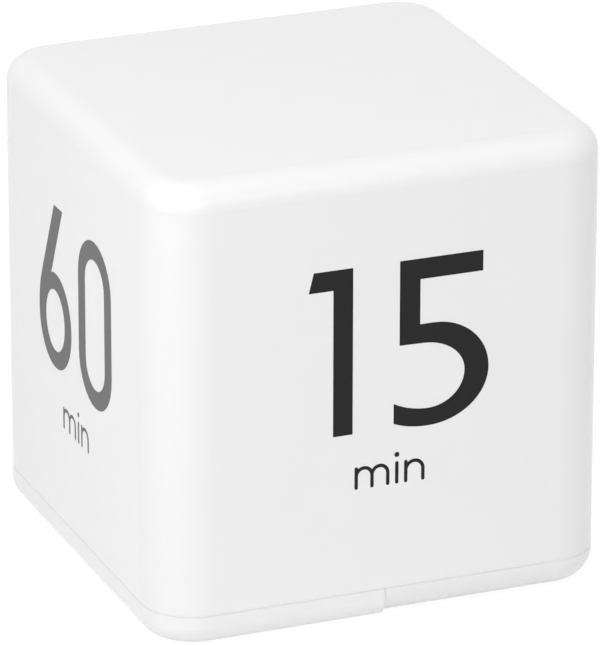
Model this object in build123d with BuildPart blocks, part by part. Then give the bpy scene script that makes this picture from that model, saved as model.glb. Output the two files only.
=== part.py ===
from build123d import *
from math import cos, pi, radians, sin, sqrt, tan
import os

# Cube timer, started by turning one of its four numbered sides up. Lengths are in millimetres
# and angles in degrees. +Z is up, and the origin is the middle of the face that it rests on.
# The side marked 15 faces -Y, the side marked 60 faces -X, 5 faces +X and 30 faces +Y.

os.makedirs("parts", exist_ok=True)

overrun = 1.0  # how far a cut starts or ends outside what it cuts
seat_gap = 0.05  # between two pieces that one hand lays against the other
print_gap = 0.1  # between two pieces that are moulded to fit
slide_gap = 0.2  # between two pieces that slide past each other
root = 0.5  # how far a rib, web or tab reaches into the wall that it stands on

# Standard cells, side by side with their ends opposite ways. They set the size of the cube.
cell_length = 44.5
cell_radius = 5.25
cell_nub_height = 1.0
cell_nub_radius = 1.9
cell_rounding = 0.5
cell_rim_width = 1.0  # of the sleeve's fold over each end of the can
cell_crimp = 0.3  # from the sleeve's fold down to the groove or washer inside it
cell_disc_radius = 3.5  # of the steel disc at the flat end
cell_spacing = 0.4
cell_side_gap = 0.15
cell_lift = 0.3  # free height above and below a cell

# Cell contacts
contact_thickness = 0.4
contact_margin = 0.7  # from the side of the cell bay to a contact
dimple_height = 0.5
dimple_radius = 2.2
lug_width = 3.0
lug_reach = 2.0  # above the roof of the cell bay
spring_wire = 0.5
spring_length = 4.0
spring_turns = 4
spring_base_radius = 3.6
spring_tip_radius = 2.3

# Shells
wall = 2.0
floor = 2.0
deck = 2.0
corner_radius = 7.1
top_fillet = 3.55
plate_fillet = 3.85  # lower outer edge of the base plate
door_fillet = 2.5  # lower outer edge of the battery door
door_edge_radius = 0.9  # rounding of the door's lower edge where it meets the base plate
seam_height = 4.28
seam_gap = 0.1
split_gap = 0.15
split_offset = 0.35  # from the side of the cell bay to the middle of the split
split_wall = 1.2
lip = 1.2  # thickness of the base's lip inside the housing
bay_wall = 1.0
bay_end_room = 3.75  # from the end wall of the cell bay to the base's lip
cradle = 1.2
cradle_place_share = 0.24  # of the bay's length, from its middle to each cradle
divider_width = 1.0
divider_height = 1.4

# Posts and screws
post_radius = 2.5
post_wall_room = 0.45
post_bay_room = 0.95
post_inset_share = 0.465  # of the corner radius, from the post's centre to the inner wall's line
left_post_share = 0.57  # of half the cube, from its middle to each left post
web = 1.2
web_rise = 0.3
boss_radius = 3.4
screw_radius = 1.3
screw_length = 10.0
screw_head_radius = 2.3
screw_head_height = 1.6
screw_sink = 0.3  # from the resting face to a screw head
screw_free = 0.1  # between a screw and the hole that it passes
screw_cross_share = 0.25  # width of a slot in a screw's head, of the head's radius
pilot_spare = 1.5

# Ribs inside the housing
rib_height = 1.2
rib_thickness = 1.0
rib_place_share = 0.3
rib_rise = 1.5

# Battery door rails, tongues and grip
rail_room = 0.45
rail_thickness = 0.7
rail_leg = 1.0
tab_width = 1.45
tab_thickness = 0.6
rail_end_room = 4.0
tongue_width = 6.0
tongue_thickness = 1.2
tongue_reach = 2.2
tongue_root = 2.4
tongue_place_share = 0.55
door_rib = 0.4
door_rib_width = 1.2
door_rib_count = 3
grip_length = 16.0
grip_width = 7.0
grip_depth = 0.8
grip_ridge = 0.9
grip_ridge_pitch = 1.8
grip_ridge_sink = 0.3
grip_ridge_count = 3
grip_inset = 5.0

# Circuit board
board_thickness = 1.6
board_wall_room = 2.0
board_rib_room = 0.5
board_post_room = 0.8
board_corner = 1.0
standoff_radius = 2.2
board_screw_inset = 2.8
board_screw_radius = 1.0
board_screw_length = 5.0
board_screw_head_radius = 1.9
board_screw_head_height = 1.3

# Slide switch under the board, and its knob
switch_length = 8.6
switch_width = 4.2
switch_height = 3.8
switch_sheet = 0.3
switch_insulator = 1.2
switch_travel = 2.0
switch_place_share = 0.4  # of half the board's width, from its middle to the switch
lever = 1.5
lever_grip = 2.4  # depth of the knob's socket over the lever
terminal = 0.5
terminal_pitch = 2.5
terminal_tail = 1.0
knob_flange = 0.8
knob_flange_margin = 1.2
knob_socket_wall = 1.0
knob_width = 3.4
knob_length = 3.6
knob_sink = 0.3
knob_ridge = 0.4
knob_ridge_count = 3
dish_depth = 1.0
dish_margin = 2.4

# Piezo sounder
sounder_radius = 10.0
sounder_thickness = 0.25
ceramic_radius = 7.0
ceramic_thickness = 0.2
sounder_rise = 1.4
seal_thickness = 0.3
seal_width = 0.8
sounder_wall = 1.0
sounder_wall_rise = 0.9
sound_hole_radius = 0.75
sound_hole_ring = 3.6
sound_hole_count = 6
ceramic_lead_share = 0.36  # of the ceramic's radius, from its middle to the start of its lead
ceramic_lead_angle = 34.0  # round the sounder from the start of the ceramic's lead to its turn
plate_lead_angle = 25.0

# Tilt switches: a ball in a can on each side, all four sloping down and outwards
tilt_angle = 10.0
tilt_can_radius = 1.8
tilt_can_wall = 0.4
tilt_ball_radius = 1.2
tilt_travel = 2.2
tilt_plug = 1.6
tilt_plug_sink = 0.2
tilt_pin_reach = 0.6
tilt_lead = 0.5
tilt_lead_pitch = 1.3
tilt_lead_run = 1.2
tilt_middle_room = 2.6  # from the middle of the cross to the near end of a can

# Small parts on the board
chip_radius = 4.2
chip_height = 1.3
chip_dome_share = 0.8  # of its height, rounded over at the rim
crystal_radius = 1.0
crystal_length = 6.0
crystal_lead = 0.3
crystal_lead_run = 1.0
capacitor_radius = 2.5
capacitor_height = 7.0
capacitor_bead = 0.25
inductor_radius = 2.5
inductor_height = 4.6
inductor_flange = 0.7
inductor_waist = 0.9
resistor_length = 1.6
resistor_width = 0.85
resistor_height = 0.5
resistor_pitch = 2.6
resistor_count = 6
transistor_length = 2.9
transistor_width = 1.3
transistor_height = 1.0
transistor_leg = 0.4
transistor_leg_reach = 0.5
hole_spare = 0.15  # by which a hole in the board is wider than its lead
lead_tail = 0.8  # of a lead below the board

# Leads
wire = 1.0
sounder_wire = 0.8

# Sizes and places that follow from the values above
bay_length = 2 * contact_thickness + dimple_height + cell_length + spring_length
bay_width = 4 * cell_radius + cell_spacing + 2 * cell_side_gap
window_length = knob_length + switch_travel + 2 * slide_gap
window_width = knob_width + 2 * slide_gap
knob_flange_length = window_length + switch_travel + knob_flange_margin
sounder_seat_radius = sounder_radius + print_gap + sounder_wall
works_length = 2 * sounder_seat_radius + knob_flange_length + switch_travel + print_gap + 2 * slide_gap
works_end_room = board_screw_inset + standoff_radius + board_post_room + post_radius
works_end_room += corner_radius * post_inset_share

# The cube is as long as its longer row needs: the cells, or the sounder and the switch
cells_inner_length = bay_length + 2 * (bay_wall + bay_end_room + print_gap)
works_inner_length = works_length + 2 * works_end_room
side = max(cells_inner_length, works_inner_length) + 2 * wall
half = side / 2
inner_half = half - wall
inner_radius = corner_radius - wall
lip_half = inner_half - print_gap
lip_radius = inner_radius - print_gap
lip_inner_half = lip_half - lip
lip_inner_radius = lip_radius - lip
rim_top = seam_height - seam_gap / 2
housing_low = seam_height + seam_gap / 2
deck_low = housing_low
deck_top = deck_low + deck
roof_low = side - wall

left_post_x = -(inner_half - post_wall_room - post_radius)
left_post_y = half * left_post_share
bay_left = left_post_x + post_radius + post_bay_room + bay_wall
bay_right = bay_left + bay_width
bay_x = (bay_left + bay_right) / 2
cell_outer_x = bay_left + cell_side_gap + cell_radius
cell_inner_x = bay_right - cell_side_gap - cell_radius
cell_z = floor + door_rib + cell_lift + cell_radius
bay_roof_low = cell_z + cell_radius + cell_lift
bay_roof_top = bay_roof_low + bay_wall

split_x = bay_right + split_offset
door_edge = split_x - split_gap / 2
plate_edge = split_x + split_gap / 2
split_wall_right = plate_edge + split_wall

corner_post = inner_half - corner_radius * post_inset_share
post_seats = [
    (corner_post, corner_post),
    (corner_post, -corner_post),
    (left_post_x, left_post_y),
    (left_post_x, -left_post_y),
]

knob_low = floor + slide_gap
switch_low = knob_low + knob_flange + lever_grip + seat_gap + slide_gap
board_low = switch_low + switch_height
board_top = board_low + board_thickness
board_left = split_wall_right + board_wall_room
board_right = inner_half - rib_height - board_rib_room
board_half_y = corner_post - post_radius - board_post_room
board_x = (board_left + board_right) / 2
board_screw_x = (board_right - board_left) / 2 - board_screw_inset
board_screw_y = board_half_y - board_screw_inset
board_screw_seats = [(board_x + i * board_screw_x, j * board_screw_y) for i in (-1, 1) for j in (-1, 1)]

tilt_interior = 2 * (tilt_ball_radius + seat_gap) + tilt_travel
tilt_length = tilt_can_wall + tilt_interior + tilt_pin_reach + tilt_plug + tilt_plug_sink
tilt_reach = tilt_middle_room + tilt_length * cos(radians(tilt_angle))
cross_y = board_half_y - tilt_reach - board_post_room


def footprint(half_width, radius, mode=Mode.ADD):
    """The cube's outline, seen from above, at a given half width."""
    RectangleRounded(2 * half_width, 2 * half_width, radius, mode=mode)


def left_of(x):
    """Everything of the cube that lies left of x, seen from above."""
    with Locations((x - side, 0)):
        Rectangle(2 * side, 2 * side, mode=Mode.SUBTRACT)


def right_of(x):
    """Everything of the cube that lies right of x, seen from above."""
    with Locations((x + side, 0)):
        Rectangle(2 * side, 2 * side, mode=Mode.SUBTRACT)


# Housing: a five-sided shell with ribs, and four screw posts that hang from its roof
with BuildPart() as housing:
    with BuildSketch(Plane.XY.offset(housing_low)):
        footprint(half, corner_radius)
    extrude(amount=side - housing_low)
    fillet(housing.faces().sort_by(Axis.Z)[-1].edges(), top_fillet)
    with BuildSketch(Plane.XY.offset(housing_low)):
        footprint(inner_half, inner_radius)
    extrude(amount=roof_low - housing_low, mode=Mode.SUBTRACT)
    fillet(housing.faces().filter_by(Plane.XY).sort_by(Axis.Z)[-2].edges(), top_fillet - wall)

    rib_low = deck_top + rib_rise
    rib_span = roof_low + root - rib_low
    for plane in (Plane.YZ, Plane.XZ):
        for place in (-half * rib_place_share, half * rib_place_share):
            with BuildSketch(plane.offset(place)):
                with Locations((0, rib_low + rib_span / 2)):
                    Rectangle(2 * (inner_half + root), rib_span)
                with Locations((0, rib_low + rib_span / 2 - root - rib_height)):
                    Rectangle(2 * (inner_half - rib_height), rib_span, mode=Mode.SUBTRACT)
            extrude(amount=rib_thickness / 2, both=True)

    with BuildSketch(Plane.XY.offset(deck_top)):
        with Locations(*post_seats):
            Circle(post_radius)
    extrude(amount=roof_low + root - deck_top)
    with BuildSketch(Plane.XY.offset(deck_top + web_rise)):
        for x, y in post_seats:
            reach = inner_half + root - abs(x)
            with Locations((x + reach / 2 * x / abs(x), y)):
                Rectangle(reach, web)
        for x, y in post_seats[:2]:
            reach = inner_half + root - abs(y)
            with Locations((x, y + reach / 2 * y / abs(y))):
                Rectangle(web, reach)
    extrude(amount=roof_low + root - deck_top - web_rise)
    with BuildSketch(Plane.XY.offset(deck_top)):
        with Locations(*post_seats):
            Circle(screw_radius + seat_gap)
    extrude(amount=screw_length + pilot_spare - deck, mode=Mode.SUBTRACT)
housing.part.label = "housing"

# Base plate: the fixed half of the base, the deck over the battery door and the cell bay
sounder_x = (split_wall_right + lip_inner_half) / 2
sounder_y = board_screw_y - standoff_radius - sounder_seat_radius - print_gap
sounder_low = floor + sounder_rise + seal_thickness
switch_x = board_x + (board_right - board_left) / 2 * switch_place_share
switch_y = sounder_y - sounder_seat_radius - (knob_flange_length + switch_travel) / 2 - slide_gap
rail_y = inner_half - rail_room
rail_inner_y = inner_half - tab_width - slide_gap * 2
rail_top = rim_top - tab_thickness - slide_gap
rail_low = rail_top - rail_thickness
rail_left = -(inner_half - inner_radius) + rail_end_room / 2
rail_right = door_edge - rail_end_room
tongue_y = half * tongue_place_share
tongue_low = cell_z - cell_radius - slide_gap - tongue_thickness

with BuildPart() as base_plate:
    with BuildSketch():
        footprint(half, corner_radius)
    extrude(amount=rim_top)
    fillet(base_plate.faces().sort_by(Axis.Z)[0].edges(), plate_fillet)
    split(bisect_by=Plane.YZ.offset(plate_edge), keep=Keep.TOP)
    with BuildSketch(Plane.XY.offset(floor)):
        footprint(lip_inner_half, lip_inner_radius)
        left_of(split_wall_right)
    extrude(amount=rim_top - floor, mode=Mode.SUBTRACT)

    # Lip that stands inside the housing, and the wall along the split
    with BuildSketch(Plane.XY.offset(rim_top)):
        footprint(lip_half, lip_radius)
        footprint(lip_inner_half, lip_inner_radius, Mode.SUBTRACT)
        with Locations(((plate_edge + split_wall_right) / 2, 0)):
            Rectangle(split_wall, 2 * lip_inner_half + lip)
        left_of(plate_edge)
    extrude(amount=deck_top - rim_top)

    # Deck, and the walls and roof of the cell bay
    with BuildSketch(Plane.XY.offset(deck_low)):
        footprint(lip_half, lip_radius)
        right_of(split_wall_right)
    extrude(amount=deck)
    with BuildSketch(Plane.XY.offset(deck_low)):
        with Locations((bay_x, 0)):
            Rectangle(bay_width + 2 * bay_wall, bay_length + 2 * bay_wall)
    extrude(amount=bay_roof_top - deck_low)
    with BuildSketch(Plane.XY.offset(deck_low)):
        with Locations((bay_x, 0)):
            Rectangle(bay_width, bay_length)
    extrude(amount=bay_roof_low - deck_low, mode=Mode.SUBTRACT)

    # Cradles that hold the cells, and the ridge between them
    for place in (-bay_length * cradle_place_share, bay_length * cradle_place_share):
        with BuildSketch(Plane.XZ.offset(place)):
            with Locations((bay_x, (cell_z + bay_roof_low) / 2)):
                Rectangle(bay_width, bay_roof_low - cell_z)
            with Locations((cell_outer_x, cell_z), (cell_inner_x, cell_z)):
                Circle(cell_radius + cell_side_gap, mode=Mode.SUBTRACT)
        extrude(amount=cradle / 2, both=True)
    with BuildSketch(Plane.XY.offset(bay_roof_low - divider_height)):
        with Locations((bay_x, 0)):
            Rectangle(divider_width, cell_length)
    extrude(amount=divider_height)

    # Slots in the bay's roof for the lugs of the contacts
    lug_y = (bay_length - contact_thickness) / 2
    with BuildSketch(Plane.XY.offset(bay_roof_low - overrun)):
        with Locations((cell_outer_x, lug_y), (cell_inner_x, lug_y)):
            Rectangle(lug_width + 2 * print_gap, contact_thickness + 2 * print_gap)
    extrude(amount=bay_wall + 2 * overrun, mode=Mode.SUBTRACT)

    # Rails that carry the battery door, on legs under the deck
    for turn in (-1, 1):
        with BuildSketch(Plane.YZ.offset(rail_left)):
            with BuildLine():
                Polyline(
                    (turn * rail_inner_y, deck_low + deck / 2),
                    (turn * rail_inner_y, rail_top),
                    (turn * rail_y, rail_top),
                    (turn * rail_y, rail_low),
                    (turn * (rail_inner_y - rail_leg), rail_low),
                    (turn * (rail_inner_y - rail_leg), deck_low + deck / 2),
                    close=True,
                )
            make_face()
        extrude(amount=rail_right - rail_left)

    # Slots for the door's tongues
    with BuildSketch(Plane.YZ.offset(plate_edge - overrun)):
        with Locations(*[(turn * tongue_y, tongue_low + tongue_thickness / 2) for turn in (-1, 1)]):
            Rectangle(tongue_width + 2 * slide_gap, tongue_thickness + 2 * slide_gap)
    extrude(amount=split_wall + 2 * overrun, mode=Mode.SUBTRACT)

    # Seat of the sounder, with its sound holes
    with BuildSketch(Plane.XY.offset(floor)):
        with Locations((sounder_x, sounder_y)):
            Circle(sounder_seat_radius)
            Circle(sounder_seat_radius - sounder_wall, mode=Mode.SUBTRACT)
    extrude(amount=sounder_rise + seal_thickness + sounder_thickness + sounder_wall_rise)
    with BuildSketch(Plane.XY.offset(floor)):
        with Locations((sounder_x, sounder_y)):
            Circle(sounder_seat_radius)
            Circle(sounder_radius - seal_width, mode=Mode.SUBTRACT)
    extrude(amount=sounder_rise)
    with Locations((sounder_x, sounder_y, floor)):
        Hole(sound_hole_radius)
        with PolarLocations(sound_hole_ring, sound_hole_count):
            Hole(sound_hole_radius)

    # Window of the power knob in its dish
    with BuildSketch():
        with Locations((switch_x, switch_y)):
            RectangleRounded(
                window_width + 2 * dish_margin, window_length + 2 * dish_margin, dish_margin
            )
    extrude(amount=dish_depth, mode=Mode.SUBTRACT)
    with BuildSketch():
        with Locations((switch_x, switch_y)):
            Rectangle(window_width, window_length)
    extrude(amount=floor, mode=Mode.SUBTRACT)

    # Standoffs of the circuit board
    with BuildSketch(Plane.XY.offset(floor)):
        with Locations(*board_screw_seats):
            Circle(standoff_radius)
    extrude(amount=board_low - floor)
    with BuildSketch(Plane.XY.offset(board_low)):
        with Locations(*board_screw_seats):
            Circle(board_screw_radius + seat_gap)
    extrude(amount=-board_screw_length, mode=Mode.SUBTRACT)

    # Screw bosses: two stand on the floor, and the other two screws pass the deck alone
    with BuildSketch(Plane.XY.offset(floor)):
        with Locations(*post_seats[:2]):
            Circle(boss_radius)
    extrude(amount=deck_top - floor)
    with BuildSketch(Plane.XY.offset(rim_top)):
        Rectangle(2 * side, 2 * side)
        footprint(lip_half, lip_radius, Mode.SUBTRACT)
    extrude(amount=deck_top - rim_top, mode=Mode.SUBTRACT)
    with BuildSketch():
        with Locations(*post_seats):
            Circle(screw_radius + screw_free)
    extrude(amount=deck_top, mode=Mode.SUBTRACT)
    with BuildSketch():
        with Locations(*post_seats[:2]):
            Circle(screw_head_radius + slide_gap)
    extrude(amount=screw_sink + screw_head_height, mode=Mode.SUBTRACT)
base_plate.part.label = "base_plate"

# Battery door: slides off to the left on the rails under the deck
grip_x = -(half - door_fillet - grip_inset)
with BuildPart() as battery_door:
    with BuildSketch():
        footprint(half, corner_radius)
    extrude(amount=rim_top)
    fillet(battery_door.faces().sort_by(Axis.Z)[0].edges(), door_fillet)
    split(bisect_by=Plane.YZ.offset(door_edge), keep=Keep.BOTTOM)
    with BuildSketch(Plane.XY.offset(floor)):
        footprint(inner_half, inner_radius)
    extrude(amount=rim_top - floor, mode=Mode.SUBTRACT)
    with BuildSketch(Plane.XZ):
        with Locations((door_edge - door_edge_radius / 2, door_edge_radius / 2)):
            Rectangle(door_edge_radius, door_edge_radius)
        with Locations((door_edge - door_edge_radius, door_edge_radius)):
            Circle(door_edge_radius, mode=Mode.SUBTRACT)
    extrude(amount=half, both=True, mode=Mode.SUBTRACT)

    # Tabs that hang on the rails
    for turn in (-1, 1):
        with BuildSketch(Plane.XY.offset(rim_top - tab_thickness)):
            with Locations(((rail_left + rail_right) / 2, turn * (inner_half + (root - tab_width) / 2))):
                Rectangle(rail_right - rail_left, tab_width + root)
        extrude(amount=tab_thickness)

    # Tongues that reach into the wall of the base plate, low enough to pass under the cells
    with BuildSketch(Plane.XY.offset(tongue_low)):
        with Locations(*[(door_edge + (tongue_reach - tongue_root) / 2, i * tongue_y) for i in (-1, 1)]):
            Rectangle(tongue_reach + tongue_root, tongue_width)
    extrude(amount=tongue_thickness)

    # Ribs under the cells
    with BuildSketch(Plane.XY.offset(floor)):
        with Locations((bay_x, 0)):
            with GridLocations(0, bay_length / door_rib_count, 1, door_rib_count):
                Rectangle(bay_width - cell_radius, door_rib_width)
    extrude(amount=door_rib)

    # Finger grip: a pocket with ridges across the way that the door slides
    with BuildSketch():
        with Locations((grip_x, 0)):
            SlotOverall(grip_length, grip_width, rotation=90)
    extrude(amount=grip_depth, mode=Mode.SUBTRACT)
    with BuildSketch(Plane.XY.offset(grip_ridge_sink)):
        with Locations((grip_x, 0)):
            with GridLocations(grip_ridge_pitch, 0, grip_ridge_count, 1):
                Rectangle(grip_ridge, grip_length - grip_width)
    extrude(amount=grip_depth - grip_ridge_sink)
battery_door.part.label = "battery_door"


def draw_cell(x, way):
    """A cell that lies along Y at x, with its nub towards way, which is 1 or -1."""
    base_y = way * (bay_length / 2 - contact_thickness - dimple_height - cell_length)
    stand = Plane(origin=(x, base_y, cell_z), x_dir=(1, 0, 0), z_dir=(0, 0, way))
    can_length = cell_length - cell_nub_height
    rim_radius = cell_radius - cell_rim_width
    with BuildSketch(stand) as profile:
        with BuildLine():
            Polyline(
                (0, 0),
                (cell_disc_radius, 0),
                (cell_disc_radius, cell_crimp),
                (rim_radius, cell_crimp),
                (rim_radius, 0),
                (cell_radius, 0),
                (cell_radius, can_length),
                (rim_radius, can_length),
                (rim_radius, can_length - cell_crimp),
                (cell_nub_radius, can_length - cell_crimp),
                (cell_nub_radius, cell_length - seat_gap),
                (0, cell_length - seat_gap),
                close=True,
            )
        make_face()
        outer_corners = profile.vertices().group_by(Axis(stand.origin, stand.x_dir))[-1]
        fillet(outer_corners, cell_rounding)
    revolve(profile.sketch, axis=Axis(stand.origin, stand.y_dir))


with BuildPart() as cell_outer:
    draw_cell(cell_outer_x, 1)
cell_outer.part.label = "cell_outer"

with BuildPart() as cell_inner:
    draw_cell(cell_inner_x, -1)
cell_inner.part.label = "cell_inner"

# Contacts: a plate for each cell end, with a dimple for a nub and a lug for a lead
contact_width = 2 * (cell_radius - contact_margin)
contact_low = deck_low + cell_lift
contact_high = bay_roof_low - print_gap
contact_face_y = bay_length / 2 - contact_thickness


def draw_contact(face, left, right):
    """A contact plate between two places in X, from its face back to the bay's end wall."""
    with BuildSketch(face) as plate:
        with Locations(((left + right) / 2, (contact_low + contact_high) / 2)):
            Rectangle(right - left, contact_high - contact_low)
    extrude(plate.sketch, amount=-contact_thickness + seat_gap)


def draw_lug(face, x):
    """The lug of a contact, which stands through the roof of the bay."""
    lug_high = bay_roof_top + lug_reach
    with BuildSketch(face) as lug:
        with Locations((x, (contact_high + lug_high) / 2)):
            Rectangle(lug_width, lug_high - contact_high)
    extrude(lug.sketch, amount=-contact_thickness + seat_gap)


def draw_dimple(contact, face, x):
    """The dimple that a cell's nub rests on."""
    with BuildSketch(face) as dimple:
        with Locations((x, cell_z)):
            Circle(dimple_radius)
    extrude(dimple.sketch, amount=dimple_height)
    rim = contact.edges().filter_by(GeomType.CIRCLE).group_by(Axis((0, 0, 0), face.z_dir))[-1]
    fillet(rim, dimple_height / 2)


back_face = Plane(origin=(0, contact_face_y, 0), x_dir=(1, 0, 0), z_dir=(0, -1, 0))
front_face = Plane(origin=(0, -contact_face_y, 0), x_dir=(-1, 0, 0), z_dir=(0, 1, 0))

with BuildPart() as contact_positive:
    draw_contact(back_face, cell_outer_x - contact_width / 2, cell_outer_x + contact_width / 2)
    draw_lug(back_face, cell_outer_x)
    draw_dimple(contact_positive, back_face, cell_outer_x)
contact_positive.part.label = "contact_positive"

with BuildPart() as contact_negative:
    draw_contact(back_face, cell_inner_x - contact_width / 2, cell_inner_x + contact_width / 2)
    draw_lug(back_face, cell_inner_x)
contact_negative.part.label = "contact_negative"

with BuildPart() as contact_bridge:
    draw_contact(front_face, -cell_inner_x - contact_width / 2, -cell_outer_x + contact_width / 2)
    draw_dimple(contact_bridge, front_face, -cell_inner_x)
contact_bridge.part.label = "contact_bridge"


# Contact springs: cones of wire that press on the flat end of each cell
def spring_point(turn):
    """Place and heading of the wire's centre line, turn turns up from the contact."""
    share = turn / spring_turns
    radius = spring_base_radius + (spring_tip_radius - spring_base_radius) * share
    rise = spring_length - 2 * seat_gap - spring_wire
    angle = 2 * pi * turn
    shrink = (spring_tip_radius - spring_base_radius) / spring_turns
    place = Vector(radius * cos(angle), radius * sin(angle), seat_gap + spring_wire / 2 + rise * share)
    heading = Vector(
        shrink * cos(angle) - 2 * pi * radius * sin(angle),
        shrink * sin(angle) + 2 * pi * radius * cos(angle),
        rise / spring_turns,
    )
    return place, heading.normalized()


def draw_spring(face, x):
    """A spring on a contact's face, swept along two arcs for each half turn."""
    stand = Plane(origin=face.from_local_coords((x, cell_z, 0)), x_dir=face.x_dir, z_dir=face.z_dir)
    places = []
    for half_turn in range(2 * spring_turns + 1):
        place, heading = spring_point(half_turn / 2)
        places.append((stand.from_local_coords(place), stand.from_local_coords(heading) - stand.origin))
    with BuildLine() as coil:
        for (start, start_way), (finish, finish_way) in zip(places, places[1:]):
            chord = finish - start
            ways = start_way + finish_way
            spread = 2 * (1 - start_way.dot(finish_way))
            reach = (sqrt(chord.dot(ways) ** 2 + spread * chord.dot(chord)) - chord.dot(ways)) / spread
            ahead = start + start_way * reach
            behind = finish - finish_way * reach
            joint = (ahead + behind) / 2
            TangentArc(start, joint, tangent=start_way)
            TangentArc(joint, finish, tangent=behind - ahead)
    with BuildSketch(Plane(origin=coil.line @ 0, z_dir=coil.line % 0)) as section:
        Circle(spring_wire / 2)
    sweep(section.sketch, path=coil.line)


def least_spring_gap(steps=24):
    """Least gap between a spring's turns, measured on points of its centre line."""
    places = [spring_point(i / steps)[0] for i in range(steps * spring_turns + 1)]
    pairs = [(a, b) for i, a in enumerate(places) for b in places[i + steps // 2 :]]
    return min((a - b).length for a, b in pairs) - spring_wire


with BuildPart() as spring_negative:
    draw_spring(back_face, cell_inner_x)
spring_negative.part.label = "spring_negative"

with BuildPart() as spring_bridge:
    draw_spring(front_face, -cell_outer_x)
spring_bridge.part.label = "spring_bridge"
print(f"least gap in a contact spring: {least_spring_gap():.2f} mm")

# Places on the circuit board, as shares of its half width and half length from its middle
chip_shares = (-0.48, -0.2)
crystal_shares = (-0.48, -0.52)
inductor_shares = (-0.42, -0.75)
resistor_shares = (0.0, -0.42)
capacitor_shares = (0.76, -0.01)
transistor_shares = (0.72, -0.27)
wire_positive_shares = (-0.84, 0.2)
wire_negative_shares = (-0.84, 0.34)


def on_board(shares):
    """Place on the circuit board, seen from above."""
    return (
        board_x + shares[0] * (board_right - board_left) / 2,
        shares[1] * board_half_y,
    )


# Tilt switches: a cross of four cans on the board
tilt_turns = {"right": 0, "back": 90, "left": 180, "front": 270}
bore_radius = tilt_can_radius - tilt_can_wall


def tilt_frame(turn):
    """Plane on a can's open end. Its z axis runs down the can, outwards, at turn degrees."""
    flat = Vector(cos(radians(turn)), sin(radians(turn)), 0)
    down = flat * cos(radians(tilt_angle)) - Vector(0, 0, sin(radians(tilt_angle)))
    end_z = board_top + seat_gap + tilt_can_radius * cos(radians(tilt_angle))
    end = Vector(board_x, cross_y, end_z) + flat * tilt_reach
    return Plane(origin=end - down * tilt_length, x_dir=(-flat.Y, flat.X, 0), z_dir=down)


def lead_points(frame, side_way):
    """Points of one lead: inside the can, at its bend and below the board."""
    inner = frame.from_local_coords((side_way * tilt_lead_pitch / 2, 0, pin_tip))
    bend = frame.from_local_coords((side_way * tilt_lead_pitch / 2, 0, -tilt_lead_run))
    return [inner, bend, Vector(bend.X, bend.Y, board_low - lead_tail)]


def draw_lead(points, thickness, bend_share=0.45):
    """A round lead along straight runs joined by arcs, as large as the shorter run allows."""
    radii = []
    for before, here, after in zip(points, points[1:], points[2:]):
        turn = (here - before).get_angle(after - here)
        shorter = min((here - before).length, (after - here).length)
        radii.append(bend_share * shorter / tan(radians(turn) / 2))
    with BuildLine() as route:
        FilletPolyline(*points, radius=radii)
    with BuildSketch(Plane(origin=route.line @ 0, z_dir=route.line % 0)) as section:
        Circle(thickness / 2)
    sweep(section.sketch, path=route.line)
    return radii


pin_tip = tilt_plug_sink + tilt_plug + tilt_pin_reach
tilt_frames = {name: tilt_frame(turn) for name, turn in tilt_turns.items()}
tilt_lead_paths = [lead_points(frame, way) for frame in tilt_frames.values() for way in (-1, 1)]
tilt_pieces = []
for name, frame in tilt_frames.items():
    with BuildPart() as tilt_can:
        with BuildSketch(frame):
            Circle(tilt_can_radius)
        extrude(amount=tilt_length)
        fillet(tilt_can.faces().sort_by(Axis(frame.origin, frame.z_dir))[-1].edges(), tilt_can_wall / 2)
        with BuildSketch(frame):
            Circle(bore_radius)
        extrude(amount=tilt_length - tilt_can_wall, mode=Mode.SUBTRACT)
    tilt_can.part.label = f"tilt_can_{name}"

    with BuildPart() as tilt_stopper:
        with BuildSketch(frame.offset(tilt_plug_sink)):
            Circle(bore_radius - seat_gap)
            with Locations((-tilt_lead_pitch / 2, 0), (tilt_lead_pitch / 2, 0)):
                Circle(tilt_lead / 2 + seat_gap, mode=Mode.SUBTRACT)
        extrude(amount=tilt_plug)
    tilt_stopper.part.label = f"tilt_plug_{name}"

    with BuildPart() as tilt_ball:
        ball_rest = tilt_length - tilt_can_wall - seat_gap - tilt_ball_radius
        with Locations(frame.from_local_coords((0, 0, ball_rest))):
            Sphere(tilt_ball_radius)
    tilt_ball.part.label = f"tilt_ball_{name}"
    tilt_pieces += [tilt_can, tilt_stopper, tilt_ball]

with BuildPart() as tilt_leads:
    for points in tilt_lead_paths:
        draw_lead(points, tilt_lead)
tilt_leads.part.label = "tilt_leads"

# Sounder: a brass plate on a ring of foam, with a ceramic disc on it
with BuildPart() as sounder_ring:
    with BuildSketch(Plane.XY.offset(floor + sounder_rise)):
        with Locations((sounder_x, sounder_y)):
            Circle(sounder_radius)
            Circle(sounder_radius - seal_width, mode=Mode.SUBTRACT)
    extrude(amount=seal_thickness)
sounder_ring.part.label = "sounder_ring"

with BuildPart() as sounder_plate:
    with BuildSketch(Plane.XY.offset(sounder_low)):
        with Locations((sounder_x, sounder_y)):
            Circle(sounder_radius)
    extrude(amount=sounder_thickness)
sounder_plate.part.label = "sounder_plate"

with BuildPart() as sounder_ceramic:
    with BuildSketch(Plane.XY.offset(sounder_low + sounder_thickness)):
        with Locations((sounder_x, sounder_y)):
            Circle(ceramic_radius)
    extrude(amount=ceramic_thickness)
sounder_ceramic.part.label = "sounder_ceramic"

# Leads of the sounder: one from the ceramic out over its edge, one along the bare rim of the
# plate, and both up through the board
bare_rim_radius = (ceramic_radius + sounder_radius) / 2
ceramic_top = sounder_low + sounder_thickness + ceramic_thickness


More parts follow.
